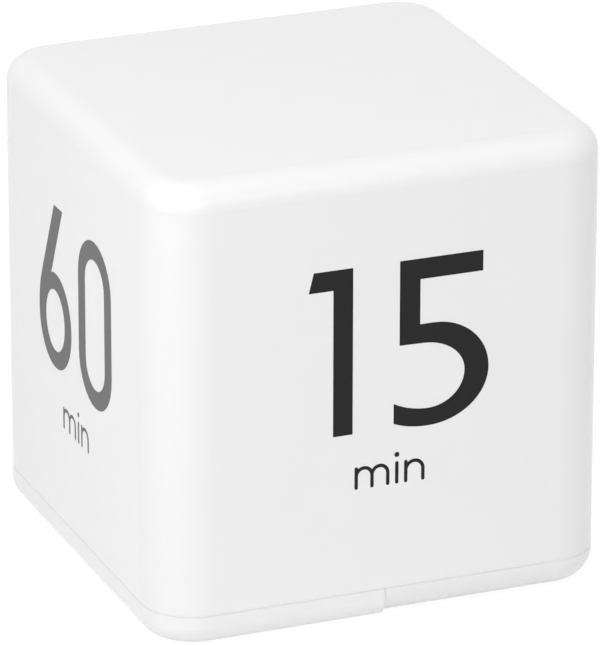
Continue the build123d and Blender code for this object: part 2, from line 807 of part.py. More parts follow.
def sounder_route(start_radius, start_angle, turn_radius, turn_angle, surface):
    """Points of a sounder lead that starts and turns up at two places round the sounder."""
    centre = Vector(sounder_x, sounder_y, surface + sounder_wire / 2)
    start = centre + Vector(start_radius, 0, 0).rotate(Axis.Z, start_angle)
    turn = centre + Vector(turn_radius, 0, 0).rotate(Axis.Z, turn_angle)
    return [start, turn, Vector(turn.X, turn.Y, board_top + sounder_wire / 2)]


ceramic_route = sounder_route(
    ceramic_radius * ceramic_lead_share, 180, bare_rim_radius, 180 + ceramic_lead_angle, ceramic_top
)
plate_route = sounder_route(
    bare_rim_radius, 0, bare_rim_radius, -plate_lead_angle, sounder_low + sounder_thickness
)
with BuildPart() as wire_sounder_ceramic:
    draw_lead(ceramic_route, sounder_wire)
wire_sounder_ceramic.part.label = "wire_sounder_ceramic"

with BuildPart() as wire_sounder_plate:
    draw_lead(plate_route, sounder_wire)
wire_sounder_plate.part.label = "wire_sounder_plate"

# Battery leads: from the lugs over the roof of the cell bay and down to the board
lead_level = bay_roof_top + cell_lift + wire / 2
lead_bow_share = 0.12
lead_bend_shares = [(0.3, 0.8), (0.68, 0.5)]  # each bend's place along the lead, and of the bow


def battery_route(lug_x, shares):
    """Points of a lead that bows from a lug to its place on the board."""
    start = Vector(lug_x, contact_face_y - wire / 2, lead_level)
    end_x, end_y = on_board(shares)
    finish = Vector(end_x, end_y, lead_level)
    across = finish - start
    bow = Vector(across.Y, -across.X, 0) * lead_bow_share
    return [
        start,
        *[start + across * along + bow * aside for along, aside in lead_bend_shares],
        finish,
        Vector(end_x, end_y, board_low - lead_tail),
    ]


positive_route = battery_route(cell_outer_x, wire_positive_shares)
negative_route = battery_route(cell_inner_x, wire_negative_shares)
with BuildPart() as wire_positive:
    positive_radii = draw_lead(positive_route, wire)
wire_positive.part.label = "wire_positive"

with BuildPart() as wire_negative:
    negative_radii = draw_lead(negative_route, wire)
wire_negative.part.label = "wire_negative"
print("radii of the battery leads:", [round(radius, 1) for radius in positive_radii + negative_radii])

# Slide switch: a sheet frame round an insulator, its slider, and its three terminals
switch_inner_length = switch_length - 2 * switch_sheet
switch_inner_width = switch_width - 2 * switch_sheet
slider_y = switch_y - switch_travel / 2
lever_low = knob_low + knob_flange + seat_gap
terminal_seats = [(switch_x, switch_y + i * terminal_pitch) for i in (-1, 0, 1)]

with BuildPart() as switch_frame:
    with BuildSketch(Plane.XY.offset(switch_low)):
        with Locations((switch_x, switch_y)):
            Rectangle(switch_width, switch_length)
    extrude(amount=switch_height - seat_gap)
    with BuildSketch(Plane.XY.offset(switch_low + switch_sheet)):
        with Locations((switch_x, switch_y)):
            Rectangle(switch_inner_width, switch_inner_length)
    extrude(amount=switch_height, mode=Mode.SUBTRACT)
    with BuildSketch(Plane.XY.offset(switch_low)):
        with Locations((switch_x, switch_y)):
            Rectangle(lever + 2 * slide_gap, lever + switch_travel + 2 * slide_gap)
    extrude(amount=switch_sheet, mode=Mode.SUBTRACT)
switch_frame.part.label = "switch_frame"

with BuildPart() as switch_base:
    with BuildSketch(Plane.XY.offset(board_low - switch_insulator)):
        with Locations((switch_x, switch_y)):
            Rectangle(switch_inner_width - 2 * seat_gap, switch_inner_length - 2 * seat_gap)
        with Locations(*terminal_seats):
            Rectangle(terminal + 2 * seat_gap, terminal + 2 * seat_gap, mode=Mode.SUBTRACT)
    extrude(amount=switch_insulator - seat_gap)
switch_base.part.label = "switch_base"

with BuildPart() as switch_terminals:
    with BuildSketch(Plane.XY.offset(board_low - switch_insulator)):
        with Locations(*terminal_seats):
            Rectangle(terminal, terminal)
    extrude(amount=switch_insulator + board_thickness + terminal_tail)
switch_terminals.part.label = "switch_terminals"

with BuildPart() as switch_slider:
    slider_low = switch_low + switch_sheet + print_gap
    with BuildSketch(Plane.XY.offset(slider_low)):
        with Locations((switch_x, slider_y)):
            Rectangle(
                switch_inner_width - 2 * print_gap,
                switch_inner_length - switch_travel - 2 * print_gap,
            )
    extrude(amount=board_low - switch_insulator - print_gap - slider_low)
    with BuildSketch(Plane.XY.offset(lever_low)):
        with Locations((switch_x, slider_y)):
            Rectangle(lever, lever)
    extrude(amount=slider_low - lever_low)
switch_slider.part.label = "switch_slider"

# Power knob: its flange slides on the base plate, its ridged grip shows in the window
with BuildPart() as power_knob:
    with BuildSketch(Plane.XY.offset(knob_low)):
        with Locations((switch_x, slider_y)):
            RectangleRounded(
                window_width + 2 * knob_flange_margin, knob_flange_length, knob_flange_margin / 2
            )
    extrude(amount=knob_flange)
    with BuildSketch(Plane.XY.offset(knob_low + knob_flange)):
        with Locations((switch_x, slider_y)):
            socket = lever + 2 * seat_gap
            Rectangle(socket + 2 * knob_socket_wall, socket + 2 * knob_socket_wall)
            Rectangle(socket, socket, mode=Mode.SUBTRACT)
    extrude(amount=lever_grip)
    with BuildSketch(Plane.XY.offset(knob_sink)):
        with Locations((switch_x, slider_y)):
            RectangleRounded(knob_width, knob_length, knob_ridge)
    extrude(amount=knob_low - knob_sink)
    with BuildSketch(Plane.XY.offset(knob_sink)):
        with Locations((switch_x, slider_y)):
            with GridLocations(0, knob_length / knob_ridge_count, 1, knob_ridge_count):
                Rectangle(knob_width, knob_ridge)
    extrude(amount=knob_ridge, mode=Mode.SUBTRACT)
power_knob.part.label = "power_knob"

# Circuit board, with a hole for each screw, lead and terminal
with BuildPart() as circuit_board:
    with BuildSketch(Plane.XY.offset(board_low)):
        with Locations((board_x, 0)):
            RectangleRounded(board_right - board_left, 2 * board_half_y, board_corner)
        with Locations(*board_screw_seats):
            Circle(board_screw_radius + screw_free, mode=Mode.SUBTRACT)
        with Locations(*[(points[-1].X, points[-1].Y) for points in tilt_lead_paths]):
            Circle(tilt_lead / 2 + hole_spare, mode=Mode.SUBTRACT)
        with Locations(*[(route[-1].X, route[-1].Y) for route in (ceramic_route, plate_route)]):
            Circle(sounder_wire / 2 + hole_spare, mode=Mode.SUBTRACT)
        with Locations(*[(route[-1].X, route[-1].Y) for route in (positive_route, negative_route)]):
            Circle(wire / 2 + hole_spare, mode=Mode.SUBTRACT)
        with Locations(*terminal_seats):
            Rectangle(terminal + 2 * hole_spare, terminal + 2 * hole_spare, mode=Mode.SUBTRACT)
    extrude(amount=board_thickness)
circuit_board.part.label = "circuit_board"

# Parts that stand on the board
with BuildPart() as timer_chip:
    with BuildSketch(Plane.XY.offset(board_top)):
        with Locations(on_board(chip_shares)):
            Circle(chip_radius)
    extrude(amount=chip_height)
    fillet(timer_chip.faces().sort_by(Axis.Z)[-1].edges(), chip_height * chip_dome_share)
timer_chip.part.label = "timer_chip"

with BuildPart() as crystal:
    crystal_x, crystal_y = on_board(crystal_shares)
    crystal_z = board_top + seat_gap + crystal_radius
    with BuildSketch(Plane.YZ.offset(crystal_x - crystal_length / 2)):
        with Locations((crystal_y, crystal_z)):
            Circle(crystal_radius)
    extrude(amount=crystal_length)
    fillet(crystal.faces().sort_by(Axis.X)[0].edges(), crystal_lead)
    for way in (-1, 1):
        start_x = crystal_x + crystal_length / 2 - crystal_lead
        start = Vector(start_x, crystal_y + way * crystal_radius / 2, crystal_z)
        bend = start + Vector(crystal_lead_run + crystal_lead, 0, 0)
        draw_lead([start, bend, Vector(bend.X, bend.Y, board_top)], crystal_lead)
crystal.part.label = "crystal"

with BuildPart() as capacitor:
    with BuildSketch(Plane.XY.offset(board_top)):
        with Locations(on_board(capacitor_shares)):
            Circle(capacitor_radius)
    extrude(amount=capacitor_height)
    fillet(capacitor.edges().filter_by(GeomType.CIRCLE), capacitor_bead)
    with BuildSketch(Plane.XY.offset(board_top + 4 * capacitor_bead)):
        with Locations(on_board(capacitor_shares)):
            Circle(capacitor_radius)
            Circle(capacitor_radius - capacitor_bead, mode=Mode.SUBTRACT)
    extrude(amount=2 * capacitor_bead, mode=Mode.SUBTRACT)
capacitor.part.label = "capacitor"

with BuildPart() as inductor:
    with BuildSketch(Plane.XY.offset(board_top)):
        with Locations(on_board(inductor_shares)):
            Circle(inductor_radius)
    extrude(amount=inductor_height)
    with BuildSketch(Plane.XY.offset(board_top + inductor_flange)):
        with Locations(on_board(inductor_shares)):
            Circle(inductor_radius)
            Circle(inductor_radius - inductor_waist, mode=Mode.SUBTRACT)
    extrude(amount=inductor_height - 2 * inductor_flange, mode=Mode.SUBTRACT)
inductor.part.label = "inductor"

with BuildPart() as resistors:
    with BuildSketch(Plane.XY.offset(board_top)):
        with Locations(on_board(resistor_shares)):
            with GridLocations(0, resistor_pitch, 1, resistor_count):
                Rectangle(resistor_length, resistor_width)
    extrude(amount=resistor_height)
resistors.part.label = "resistors"

with BuildPart() as transistor:
    transistor_x, transistor_y = on_board(transistor_shares)
    with BuildSketch(Plane.XY.offset(board_top + transistor_leg / 2)):
        with Locations((transistor_x, transistor_y)):
            Rectangle(transistor_width, transistor_length)
    extrude(amount=transistor_height - transistor_leg / 2)
    leg_length = transistor_width / 2 + transistor_leg_reach
    with BuildSketch(Plane.XY.offset(board_top)):
        with Locations((transistor_x - leg_length / 2, transistor_y)):
            Rectangle(leg_length, transistor_leg)
        with Locations((transistor_x + leg_length / 2, transistor_y)):
            with GridLocations(0, transistor_length / 2, 1, 2):
                Rectangle(leg_length, transistor_leg)
    extrude(amount=transistor_leg)
transistor.part.label = "transistor"

# Screws: pan heads with a cross, as two groups
def draw_screws(seats, upwards, shank_radius, shank_length, head_radius, head_height):
    """Screws whose heads stop at the seats, driven upwards or downwards from there."""
    way = 1 if upwards else -1
    for x, y, z in seats:
        stand = Plane(origin=(x, y, z), x_dir=(1, 0, 0), z_dir=(0, 0, way))
        with BuildSketch(stand) as shank:
            Circle(shank_radius)
        extrude(shank.sketch, amount=shank_length)
        with BuildSketch(stand.offset(-head_height)) as head:
            Circle(head_radius)
            Rectangle(head_radius, head_radius * screw_cross_share, mode=Mode.SUBTRACT)
            Rectangle(head_radius * screw_cross_share, head_radius, mode=Mode.SUBTRACT)
        extrude(head.sketch, amount=head_height / 2)
        with BuildSketch(stand.offset(-head_height / 2)) as under_head:
            Circle(head_radius)
        extrude(under_head.sketch, amount=head_height / 2)


plate_screw_z = screw_sink + screw_head_height
base_screw_seats = [(x, y, plate_screw_z if x > 0 else deck_low) for x, y in post_seats]
with BuildPart() as base_screws:
    draw_screws(base_screw_seats, True, screw_radius, screw_length, screw_head_radius, screw_head_height)
base_screws.part.label = "base_screws"

board_screw_places = [(x, y, board_top) for x, y in board_screw_seats]
with BuildPart() as board_screws:
    draw_screws(
        board_screw_places,
        False,
        board_screw_radius,
        board_screw_length,
        board_screw_head_radius,
        board_screw_head_height,
    )
board_screws.part.label = "board_screws"

pieces = [housing, base_plate, battery_door, cell_outer, cell_inner]
pieces += [contact_positive, contact_negative, contact_bridge, spring_negative, spring_bridge]
pieces += [wire_positive, wire_negative, circuit_board, timer_chip, crystal, capacitor, inductor]
pieces += [resistors, transistor, tilt_leads, *tilt_pieces]
pieces += [sounder_ring, sounder_plate, sounder_ceramic, wire_sounder_plate, wire_sounder_ceramic]
pieces += [switch_frame, switch_base, switch_terminals, switch_slider, power_knob]
pieces += [base_screws, board_screws]
for piece in pieces:
    export_step(piece.part, f"parts/{piece.part.label}.step")
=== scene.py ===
"""A white cube timer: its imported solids, dressed, with the print and small fittings they lack.

Lengths are in metres and angles in degrees. +Z is up, the cube stands on the origin, the side
marked 15 faces -Y, the side marked 60 faces -X, 5 faces +X and 30 faces +Y.
"""

import logging
import math
from collections.abc import Callable
from dataclasses import dataclass
from enum import Enum

import bmesh
import bpy
from mathutils import Matrix, Vector


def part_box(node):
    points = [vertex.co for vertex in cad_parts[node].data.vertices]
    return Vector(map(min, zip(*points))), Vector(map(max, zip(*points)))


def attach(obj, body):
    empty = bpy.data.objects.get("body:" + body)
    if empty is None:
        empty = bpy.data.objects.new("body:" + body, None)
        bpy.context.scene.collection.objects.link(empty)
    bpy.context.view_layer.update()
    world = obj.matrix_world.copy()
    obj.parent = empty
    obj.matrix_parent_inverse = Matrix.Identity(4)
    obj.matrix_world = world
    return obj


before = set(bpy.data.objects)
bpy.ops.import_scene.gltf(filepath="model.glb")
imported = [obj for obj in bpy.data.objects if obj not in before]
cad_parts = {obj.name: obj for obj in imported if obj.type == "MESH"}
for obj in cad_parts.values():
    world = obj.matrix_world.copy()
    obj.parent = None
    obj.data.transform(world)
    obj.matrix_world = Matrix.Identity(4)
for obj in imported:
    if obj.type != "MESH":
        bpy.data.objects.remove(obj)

log = logging.getLogger("cube_timer")
Point = tuple[float, float]
Contour = list[Point]
Path = tuple[Point, ...]
Colour = tuple[float, float, float]
Place = tuple[float, float, float]
Piece = bpy.types.Object
Socket = bpy.types.NodeSocket
Tree = bpy.types.ShaderNodeTree

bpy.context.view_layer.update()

INK_PROUD = 0.00002  # how far ink stands out of a surface
FILM_SUNK = 0.00004  # how far a film reaches into what carries it
RING_STEPS = 48
SHARPEST_CORNER = 0.3  # least cosine that a track's corner is drawn out by
MIX_SOCKETS = {"RGBA": ((0, 6, 7), 2), "FLOAT": ((0, 2, 3), 0)}  # a mix node's inputs and output
WHITE = (1.0, 1.0, 1.0, 1.0)
BLACK = (0.0, 0.0, 0.0)
ALONG_X, ALONG_Y, ALONG_Z = (1.0, 0.0, 0.0), (0.0, 1.0, 0.0), (0.0, 0.0, 1.0)
ROUND_Y, ROUND_Z = (1.0, 0.0, 1.0), (1.0, 1.0, 0.0)


def grey(level: float) -> Colour:
    """Linear colour of a grey, by the sRGB curve.

    Args:
        level: Its level on a display, from 0 to 255.

    Returns:
        The colour.
    """
    share = level / 255
    linear = share / 12.92 if share <= 0.04045 else ((share + 0.055) / 1.055) ** 2.4
    return (linear, linear, linear)


class Relief(Enum):
    """Fine surface that a material has, by how the piece is made."""

    MOULDED = "spark-eroded mould grain"
    POLISHED = "polished mould"
    ROLLED = "rolled or drawn sheet"
    WOVEN = "woven glass under lacquer"
    PRINTED = "screen-printed ink"
    FOAMED = "open foam"


@dataclass(frozen=True)
class Finish:
    """How one material looks.

    Attributes:
        name: Name of the material.
        colour: Base colour, linear.
        shade: Colour of its darker patches, linear.
        roughness: Roughness midway between its patches.
        roughness_spread: How much the roughness varies over it.
        metallic: 1 for bare metal, 0 for none, between them for metallic paint.
        specular: Specular level of the shader, 0.5 for most plastics.
        relief: Fine surface of the piece.
        relief_depth: Height of the fine surface.
        rubbed_and_shaded_edge_colour: Colour of sharp edges, or None: lighter where handling polishes dark
            plastic; on the white shell darker, as painted shade along the seams with some dust.
        rubbed_and_shaded_edge_share: How far the edges go towards that colour.
        painted_gap_glow: Painted light given off inside a narrow gap, as a share of white, in place of
            light that thin edges carry into it.
    """

    name: str
    colour: Colour
    shade: Colour
    roughness: float = 0.5
    roughness_spread: float = 0.1
    metallic: float = 0.0
    specular: float = 0.5
    relief: Relief = Relief.MOULDED
    relief_depth: float = 0.000004
    rubbed_and_shaded_edge_colour: Colour | None = None
    rubbed_and_shaded_edge_share: float = 0.0
    painted_gap_glow: float = 0.0


# The white plastics also glow faintly inside narrow gaps: painted light that lightens the seams.
# The white plastics' darker edge colour is painted shade along the seams, with some dust.
SHELL = Finish("shell_plastic", grey(240), grey(238), 0.22, 0.05, rubbed_and_shaded_edge_colour=grey(225), rubbed_and_shaded_edge_share=0.5,
               painted_gap_glow=0.14)
BASE_SHELL = Finish("base_plastic", grey(240), grey(237), 0.26, 0.06, rubbed_and_shaded_edge_colour=grey(225),
                    rubbed_and_shaded_edge_share=0.5, painted_gap_glow=0.14)
KNOB = Finish("knob_plastic", grey(58), grey(50), 0.5, 0.1, rubbed_and_shaded_edge_colour=grey(82), rubbed_and_shaded_edge_share=0.6)
DARK_INK = Finish("dark_ink", grey(30), grey(27), 0.55, 0.08, specular=0.2, relief=Relief.PRINTED)
GREY_INK = Finish("grey_ink", grey(113), grey(109), 0.55, 0.08, specular=0.2, relief=Relief.PRINTED)
MARK_INK = Finish("mark_ink", grey(96), grey(88), 0.5, 0.08, specular=0.3, relief=Relief.PRINTED)
SPRING_STEEL = Finish("nickelled_steel", grey(205), grey(186), 0.24, 0.12, 1.0, relief=Relief.ROLLED,
                      relief_depth=0.000002)
ZINC = Finish("zinc_plated_steel", grey(190), grey(160), 0.34, 0.16, 1.0, relief=Relief.ROLLED)
TIN = Finish("tinned_steel", grey(200), grey(178), 0.3, 0.12, 1.0, relief=Relief.ROLLED)
SOLDER = Finish("solder", grey(188), grey(168), 0.22, 0.14, 1.0)
COPPER = Finish("enamelled_copper", (0.5, 0.13, 0.04), (0.36, 0.08, 0.025), 0.3, 0.1, 1.0,
                relief=Relief.POLISHED)
ALUMINIUM = Finish("drawn_aluminium", grey(206), grey(190), 0.36, 0.1, 1.0, relief=Relief.ROLLED)
BRASS = Finish("brass_sheet", (0.62, 0.42, 0.14), (0.5, 0.31, 0.09), 0.3, 0.15, 1.0, relief=Relief.ROLLED)
CERAMIC = Finish("fired_ceramic", (0.42, 0.33, 0.2), (0.36, 0.28, 0.17), 0.5, 0.1, relief=Relief.PRINTED)
SILVER = Finish("silver_paint", grey(212), grey(196), 0.42, 0.12, 0.8, relief=Relief.PRINTED)
FOAM = Finish("black_foam", grey(42), grey(22), 0.9, 0.05, relief=Relief.FOAMED, relief_depth=0.00003)
BOARD = Finish("board_lacquer", (0.012, 0.13, 0.045), (0.008, 0.085, 0.03), 0.28, 0.1,
               relief=Relief.WOVEN)
TRACE = Finish("lacquered_copper", (0.03, 0.21, 0.075), (0.022, 0.17, 0.06), 0.24, 0.08,
               relief=Relief.PRINTED)
BOARD_INK = Finish("board_ink", grey(232), grey(222), 0.6, 0.08, specular=0.3, relief=Relief.PRINTED)
RESIN = Finish("black_resin", grey(34), grey(26), 0.22, 0.12, relief=Relief.POLISHED)
BLACK_PLASTIC = Finish("black_plastic", grey(44), grey(36), 0.45, 0.1)
CELL_SLEEVE = Finish("cell_sleeve", (0.018, 0.075, 0.16), (0.014, 0.06, 0.13), 0.28, 0.08,
                     relief=Relief.POLISHED)
CELL_BAND = Finish("cell_band", grey(214), grey(204), 0.3, 0.08, 0.6, relief=Relief.POLISHED)
CAN_SLEEVE = Finish("capacitor_sleeve", (0.012, 0.02, 0.06), (0.01, 0.015, 0.045), 0.3, 0.1)
CAN_STRIPE = Finish("capacitor_stripe", grey(190), grey(180), 0.35, 0.08)
FERRITE = Finish("ferrite", grey(72), grey(58), 0.62, 0.12, relief_depth=0.00001)
RED_SLEEVE = Finish("red_sleeve", (0.5, 0.012, 0.01), (0.4, 0.01, 0.008), 0.4, 0.1)
BLACK_SLEEVE = Finish("black_sleeve", grey(36), grey(30), 0.4, 0.1)

TILT_WAYS = ("right", "back", "left", "front")
CELL_WAYS = {"cell_outer": 1, "cell_inner": -1}  # 1 where the positive end points to +Y, else -1
SHELL_FINISHES = {
    "housing": SHELL,
    "base_plate": BASE_SHELL,
    "battery_door": BASE_SHELL,
    "power_knob": KNOB,
    "base_screws": ZINC,
}
WORKS_FINISHES = {
    "contact_positive": SPRING_STEEL,
    "contact_negative": SPRING_STEEL,
    "contact_bridge": SPRING_STEEL,
    "spring_negative": SPRING_STEEL,
    "spring_bridge": SPRING_STEEL,
    "circuit_board": BOARD,
    "timer_chip": RESIN,
    "crystal": TIN,
    "inductor": FERRITE,
    "tilt_leads": TIN,
    "sounder_ring": FOAM,
    "sounder_plate": BRASS,
    "switch_frame": TIN,
    "switch_base": BLACK_PLASTIC,
    "switch_terminals": TIN,
    "switch_slider": BLACK_PLASTIC,
    "board_screws": ZINC,
    **{f"tilt_can_{way}": TIN for way in TILT_WAYS},
    **{f"tilt_plug_{way}": RESIN for way in TILT_WAYS},
    **{f"tilt_ball_{way}": SPRING_STEEL for way in TILT_WAYS},
}
WIRE_FINISHES = {
    "wire_positive": RED_SLEEVE,
    "wire_negative": BLACK_SLEEVE,
    "wire_sounder_plate": BLACK_SLEEVE,
    "wire_sounder_ceramic": RED_SLEEVE,
}


@dataclass(frozen=True)
class Zone:
    """A part of a piece with another finish, by its distance from a point, an axis or a plane.

    Attributes:
        finish: Finish of the zone.
        centre: The point, or one on the axis or plane.
        spread: 1 for each axis along which distance counts, 0 for the others.
        distance: Where the zone ends, or begins.
        within: Whether the zone is nearer than that, or further.
    """

    finish: Finish
    centre: Place
    spread: Place
    distance: float
    within: bool = True


@dataclass
class Nodes:
    """Adds nodes to one shader tree. Each value given is a node's socket, a number or a tuple.

    Attributes:
        tree: The tree.
    """

    tree: bpy.types.NodeTree

    def feed(self, socket: Socket, value: object) -> None:
        """Links another node's socket to an input, or sets the input to a number or tuple.

        Args:
            socket: The input.
            value: What it gets.
        """
        if isinstance(value, Socket):
            self.tree.links.new(value, socket)
        else:
            socket.default_value = value

    def add(self, kind: str, inputs: dict | None = None, **settings: object) -> bpy.types.Node:
        """Adds a node.

        Args:
            kind: Its type, without the prefix of shader nodes.
            inputs: Value of each input that isn't left as it is, by name or place.
            settings: Its own properties.

        Returns:
            The node.
        """
        node = self.tree.nodes.new("ShaderNode" + kind)
        for name, value in settings.items():
            setattr(node, name, value)
        for key, value in (inputs or {}).items():
            self.feed(node.inputs[key], value)
        return node

    def compute(self, operation: str, *values: object, clamp: bool = False) -> Socket:
        """Adds a math node for one to three values, and returns its output."""
        return self.add("Math", dict(enumerate(values)), operation=operation, use_clamp=clamp).outputs[0]

    def noise(self, place: object, scale: object, detail: float) -> Socket:
        """Adds a noise texture with some finer layers, and returns its value, from 0 to 1."""
        return self.add("TexNoise", {"Vector": place, "Scale": scale, "Detail": detail}).outputs[0]

    def mix(self, share: object, first: object, second: object, kind: str = "RGBA") -> Socket:
        """Adds a mix of two colours or two numbers.

        Args:
            share: The second one's share.
            first: First colour or number.
            second: Second colour or number.
            kind: RGBA for colours, FLOAT for numbers.

        Returns:
            The socket of the mixture.
        """
        places, result = MIX_SOCKETS[kind]
        values = [(*value, 1.0) if isinstance(value, tuple) else value for value in (share, first, second)]
        return self.add("Mix", dict(zip(places, values)), data_type=kind).outputs[result]


@dataclass
class ShaderKit:
    """Shared effects as shader groups, each built once, and the materials made with them.

    Attributes:
        grain_scale: Scale of fine pits and lines, per metre.
        foam_scale: Scale of the pores of foam, per metre.
        weave_scale: Angle of a weave's waves, in radians per metre.
        mottle_scale: Scale of wide soft patches, per metre.
        line_stretch: Scale of rolled lines along each axis, as a share of that of fine lines.
        pit_detail: Number of finer layers in the pits.
        line_detail: Number of finer layers in the lines.
        mottle_detail: Number of finer layers in the patches of a moulded surface.
        tarnish_detail: Number of finer layers in the patches of metal.
        lacquer_detail: Number of finer layers in the patches of lacquer.
        edge_radius: How far an edge's wear and painted shade reach.
        edge_bend: Cosine of the bend at which the edge colour is full.
        edge_samples: Number of samples that find an edge.
        zone_blur: Width of the border of a zone.
        gap_reach: Width of the widest gap that counts as narrow.
        gap_falloff: How steeply the gap's mask rises.
        gap_samples: Number of samples that find a gap.
    """

    grain_scale: float = 5200.0
    foam_scale: float = 2600.0
    weave_scale: float = 900.0
    mottle_scale: float = 160.0
    line_stretch: Place = (0.06, 0.06, 1.0)
    pit_detail: float = 3.0
    line_detail: float = 4.0
    mottle_detail: float = 2.0
    tarnish_detail: float = 4.0
    lacquer_detail: float = 3.0
    edge_radius: float = 0.0005
    edge_bend: float = 0.86
    edge_samples: int = 4
    zone_blur: float = 0.00006
    gap_reach: float = 0.0005
    gap_falloff: float = 1.5
    gap_samples: int = 6

    def __post_init__(self) -> None:
        """Builds the groups."""
        self.grain = self._surface_group("moulded_grain", self._pits, self.mottle_detail)
        self.lines = self._surface_group("rolled_streaks", self._lines, self.tarnish_detail)
        self.weave = self._surface_group("glass_weave", self._threads, self.lacquer_detail)
        self.edges = self._edge_group()
        self.zones = self._zone_group()
        self.gaps = self._gap_group()
        self.made: dict[tuple, bpy.types.Material] = {}

    @staticmethod
    def _new_group(name: str, inputs: dict[str, float | None], outputs: list[str]) -> tuple:
        """Starts a shader group.

        Args:
            name: Name of the group.
            inputs: Default of each input by name, None for a vector.
            outputs: Names of its outputs, all plain values.

        Returns:
            What adds its nodes, what it is given, and what it puts out.
        """
        tree = bpy.data.node_groups.new(name, "ShaderNodeTree")
        for label, default in inputs.items():
            kind = "NodeSocketVector" if default is None else "NodeSocketFloat"
            socket = tree.interface.new_socket(name=label, in_out="INPUT", socket_type=kind)
            if default is not None:
                socket.default_value = default
        for label in outputs:
            tree.interface.new_socket(name=label, in_out="OUTPUT", socket_type="NodeSocketFloat")
        source, result = tree.nodes.new("NodeGroupInput"), tree.nodes.new("NodeGroupOutput")
        return Nodes(tree), source.outputs, result.inputs

    def _pits(self, nodes: Nodes, given: object) -> Socket:
        """Height of the fine pits of a moulded or cast surface."""
        return nodes.noise(given["Place"], given["Grain Scale"], self.pit_detail)

    def _lines(self, nodes: Nodes, given: object) -> Socket:
        """Height across the fine lines left by rolling or drawing."""
        stretched = nodes.add("Mapping", {"Vector": given["Place"], "Scale": self.line_stretch}).outputs[0]
        return nodes.noise(stretched, given["Grain Scale"], self.line_detail)

    @staticmethod
    def _threads(nodes: Nodes, given: object) -> Socket:
        """Height of a plain weave of glass threads.

        Args:
            nodes: What adds the nodes.
            given: The group's inputs.

        Returns:
            The socket of the height.
        """
        parts = nodes.add("SeparateXYZ", {0: given["Place"]}).outputs
        waves = []
        for axis in ("X", "Y"):
            along = nodes.compute("MULTIPLY", parts[axis], given["Grain Scale"])
            waves.append(nodes.compute("MULTIPLY_ADD", nodes.compute("SINE", along), 0.5, 0.5))
        return nodes.compute("MULTIPLY", *waves)

    def _surface_group(self, name: str, draw_height: Callable, mottle_detail: float) -> Tree:
        """Builds the group of a fine surface: its Height, and Mottle of wide soft patches.

        Args:
            name: Name of the group.
            draw_height: Makes the height.
            mottle_detail: Number of finer layers in the patches.

        Returns:
            The group.
        """
        inputs = {"Place": None, "Grain Scale": 1.0, "Mottle Scale": 1.0}
        nodes, given, result = self._new_group(name, inputs, ["Height", "Mottle"])
        nodes.feed(result["Height"], draw_height(nodes, given))
        nodes.feed(result["Mottle"], nodes.noise(given["Place"], given["Mottle Scale"], mottle_detail))
        return nodes.tree

    def _edge_group(self) -> Tree:
        """Builds the mask that rises at a sharp edge: where handling polishes dark plastic, and where the
        white shell gets painted shade along its seams with some dust.

        Returns:
            The group.
        """
        nodes, given, result = self._new_group("edge_wear", {"Radius": 1.0}, ["Edge"])
        rounded = nodes.add("Bevel", {"Radius": given["Radius"]}, samples=self.edge_samples).outputs[0]
        normal = nodes.add("NewGeometry").outputs["Normal"]
        bend = nodes.add("VectorMath", {0: rounded, 1: normal}, operation="DOT_PRODUCT").outputs["Value"]
        mask = nodes.add("MapRange", {"Value": bend, "From Min": 1.0, "From Max": self.edge_bend})
        nodes.feed(result["Edge"], mask.outputs[0])
        return nodes.tree

    def _zone_group(self) -> Tree:
        """Builds the mask that is 0 near a point, axis or plane and 1 beyond a distance from it.

        Returns:
            The group.
        """
        inputs = {"Place": None, "Centre": None, "Spread": None, "Distance": 1.0}
        nodes, given, result = self._new_group("beyond_distance", inputs, ["Beyond"])
        away = given["Place"]
        for operation, label in (("SUBTRACT", "Centre"), ("MULTIPLY", "Spread")):
            away = nodes.add("VectorMath", {0: away, 1: given[label]}, operation=operation).outputs[0]
        length = nodes.add("VectorMath", {0: away}, operation="LENGTH").outputs["Value"]
        past = nodes.compute("SUBTRACT", length, given["Distance"])
        beyond = nodes.compute("MULTIPLY_ADD", past, 1 / self.zone_blur, 0.5, clamp=True)
        nodes.feed(result["Beyond"], beyond)
        return nodes.tree

    def _gap_group(self) -> Tree:
        """Builds the mask that rises inside a narrow gap, where a painted glow lightens the gap in place
        of light that thin edges let through.

        Returns:
            The group.
        """
        nodes, given, result = self._new_group("narrow_gap", {"Reach": 1.0}, ["Gap"])
        around = nodes.add("AmbientOcclusion", {"Distance": given["Reach"]}, samples=self.gap_samples)
        closed = nodes.compute("SUBTRACT", 1.0, around.outputs["AO"])
        nodes.feed(result["Gap"], nodes.compute("POWER", closed, self.gap_falloff))
        return nodes.tree

    def _coat(self, nodes: Nodes, finish: Finish, place: Socket) -> tuple[Socket, Socket, Socket]:
        """Adds what one finish looks like.

        Args:
            nodes: What adds the nodes.
            finish: The finish.
            place: Socket with the coordinates.

        Returns:
            Sockets of its colour, its roughness and the height of its relief.
        """
        group = {Relief.ROLLED: self.lines, Relief.WOVEN: self.weave}.get(finish.relief, self.grain)
        scales = {Relief.WOVEN: self.weave_scale, Relief.FOAMED: self.foam_scale}
        scale = scales.get(finish.relief, self.grain_scale)
        inputs = {"Place": place, "Grain Scale": scale, "Mottle Scale": self.mottle_scale}
        surface = nodes.add("Group", inputs, node_tree=group).outputs
        colour = nodes.mix(surface["Mottle"], finish.shade, finish.colour)
        # Sharp edges take another colour: polish wear on dark plastic, painted shade with some dust on the
        # white shell.
        if finish.rubbed_and_shaded_edge_colour is not None:
            edge = nodes.add("Group", {"Radius": self.edge_radius}, node_tree=self.edges).outputs["Edge"]
            share = nodes.compute("MULTIPLY", edge, finish.rubbed_and_shaded_edge_share)
            colour = nodes.mix(share, colour, finish.rubbed_and_shaded_edge_colour)
        spread = finish.roughness_spread
        roughness = nodes.compute("MULTIPLY_ADD", surface["Mottle"], spread, finish.roughness - spread / 2)
        return colour, roughness, surface["Height"]

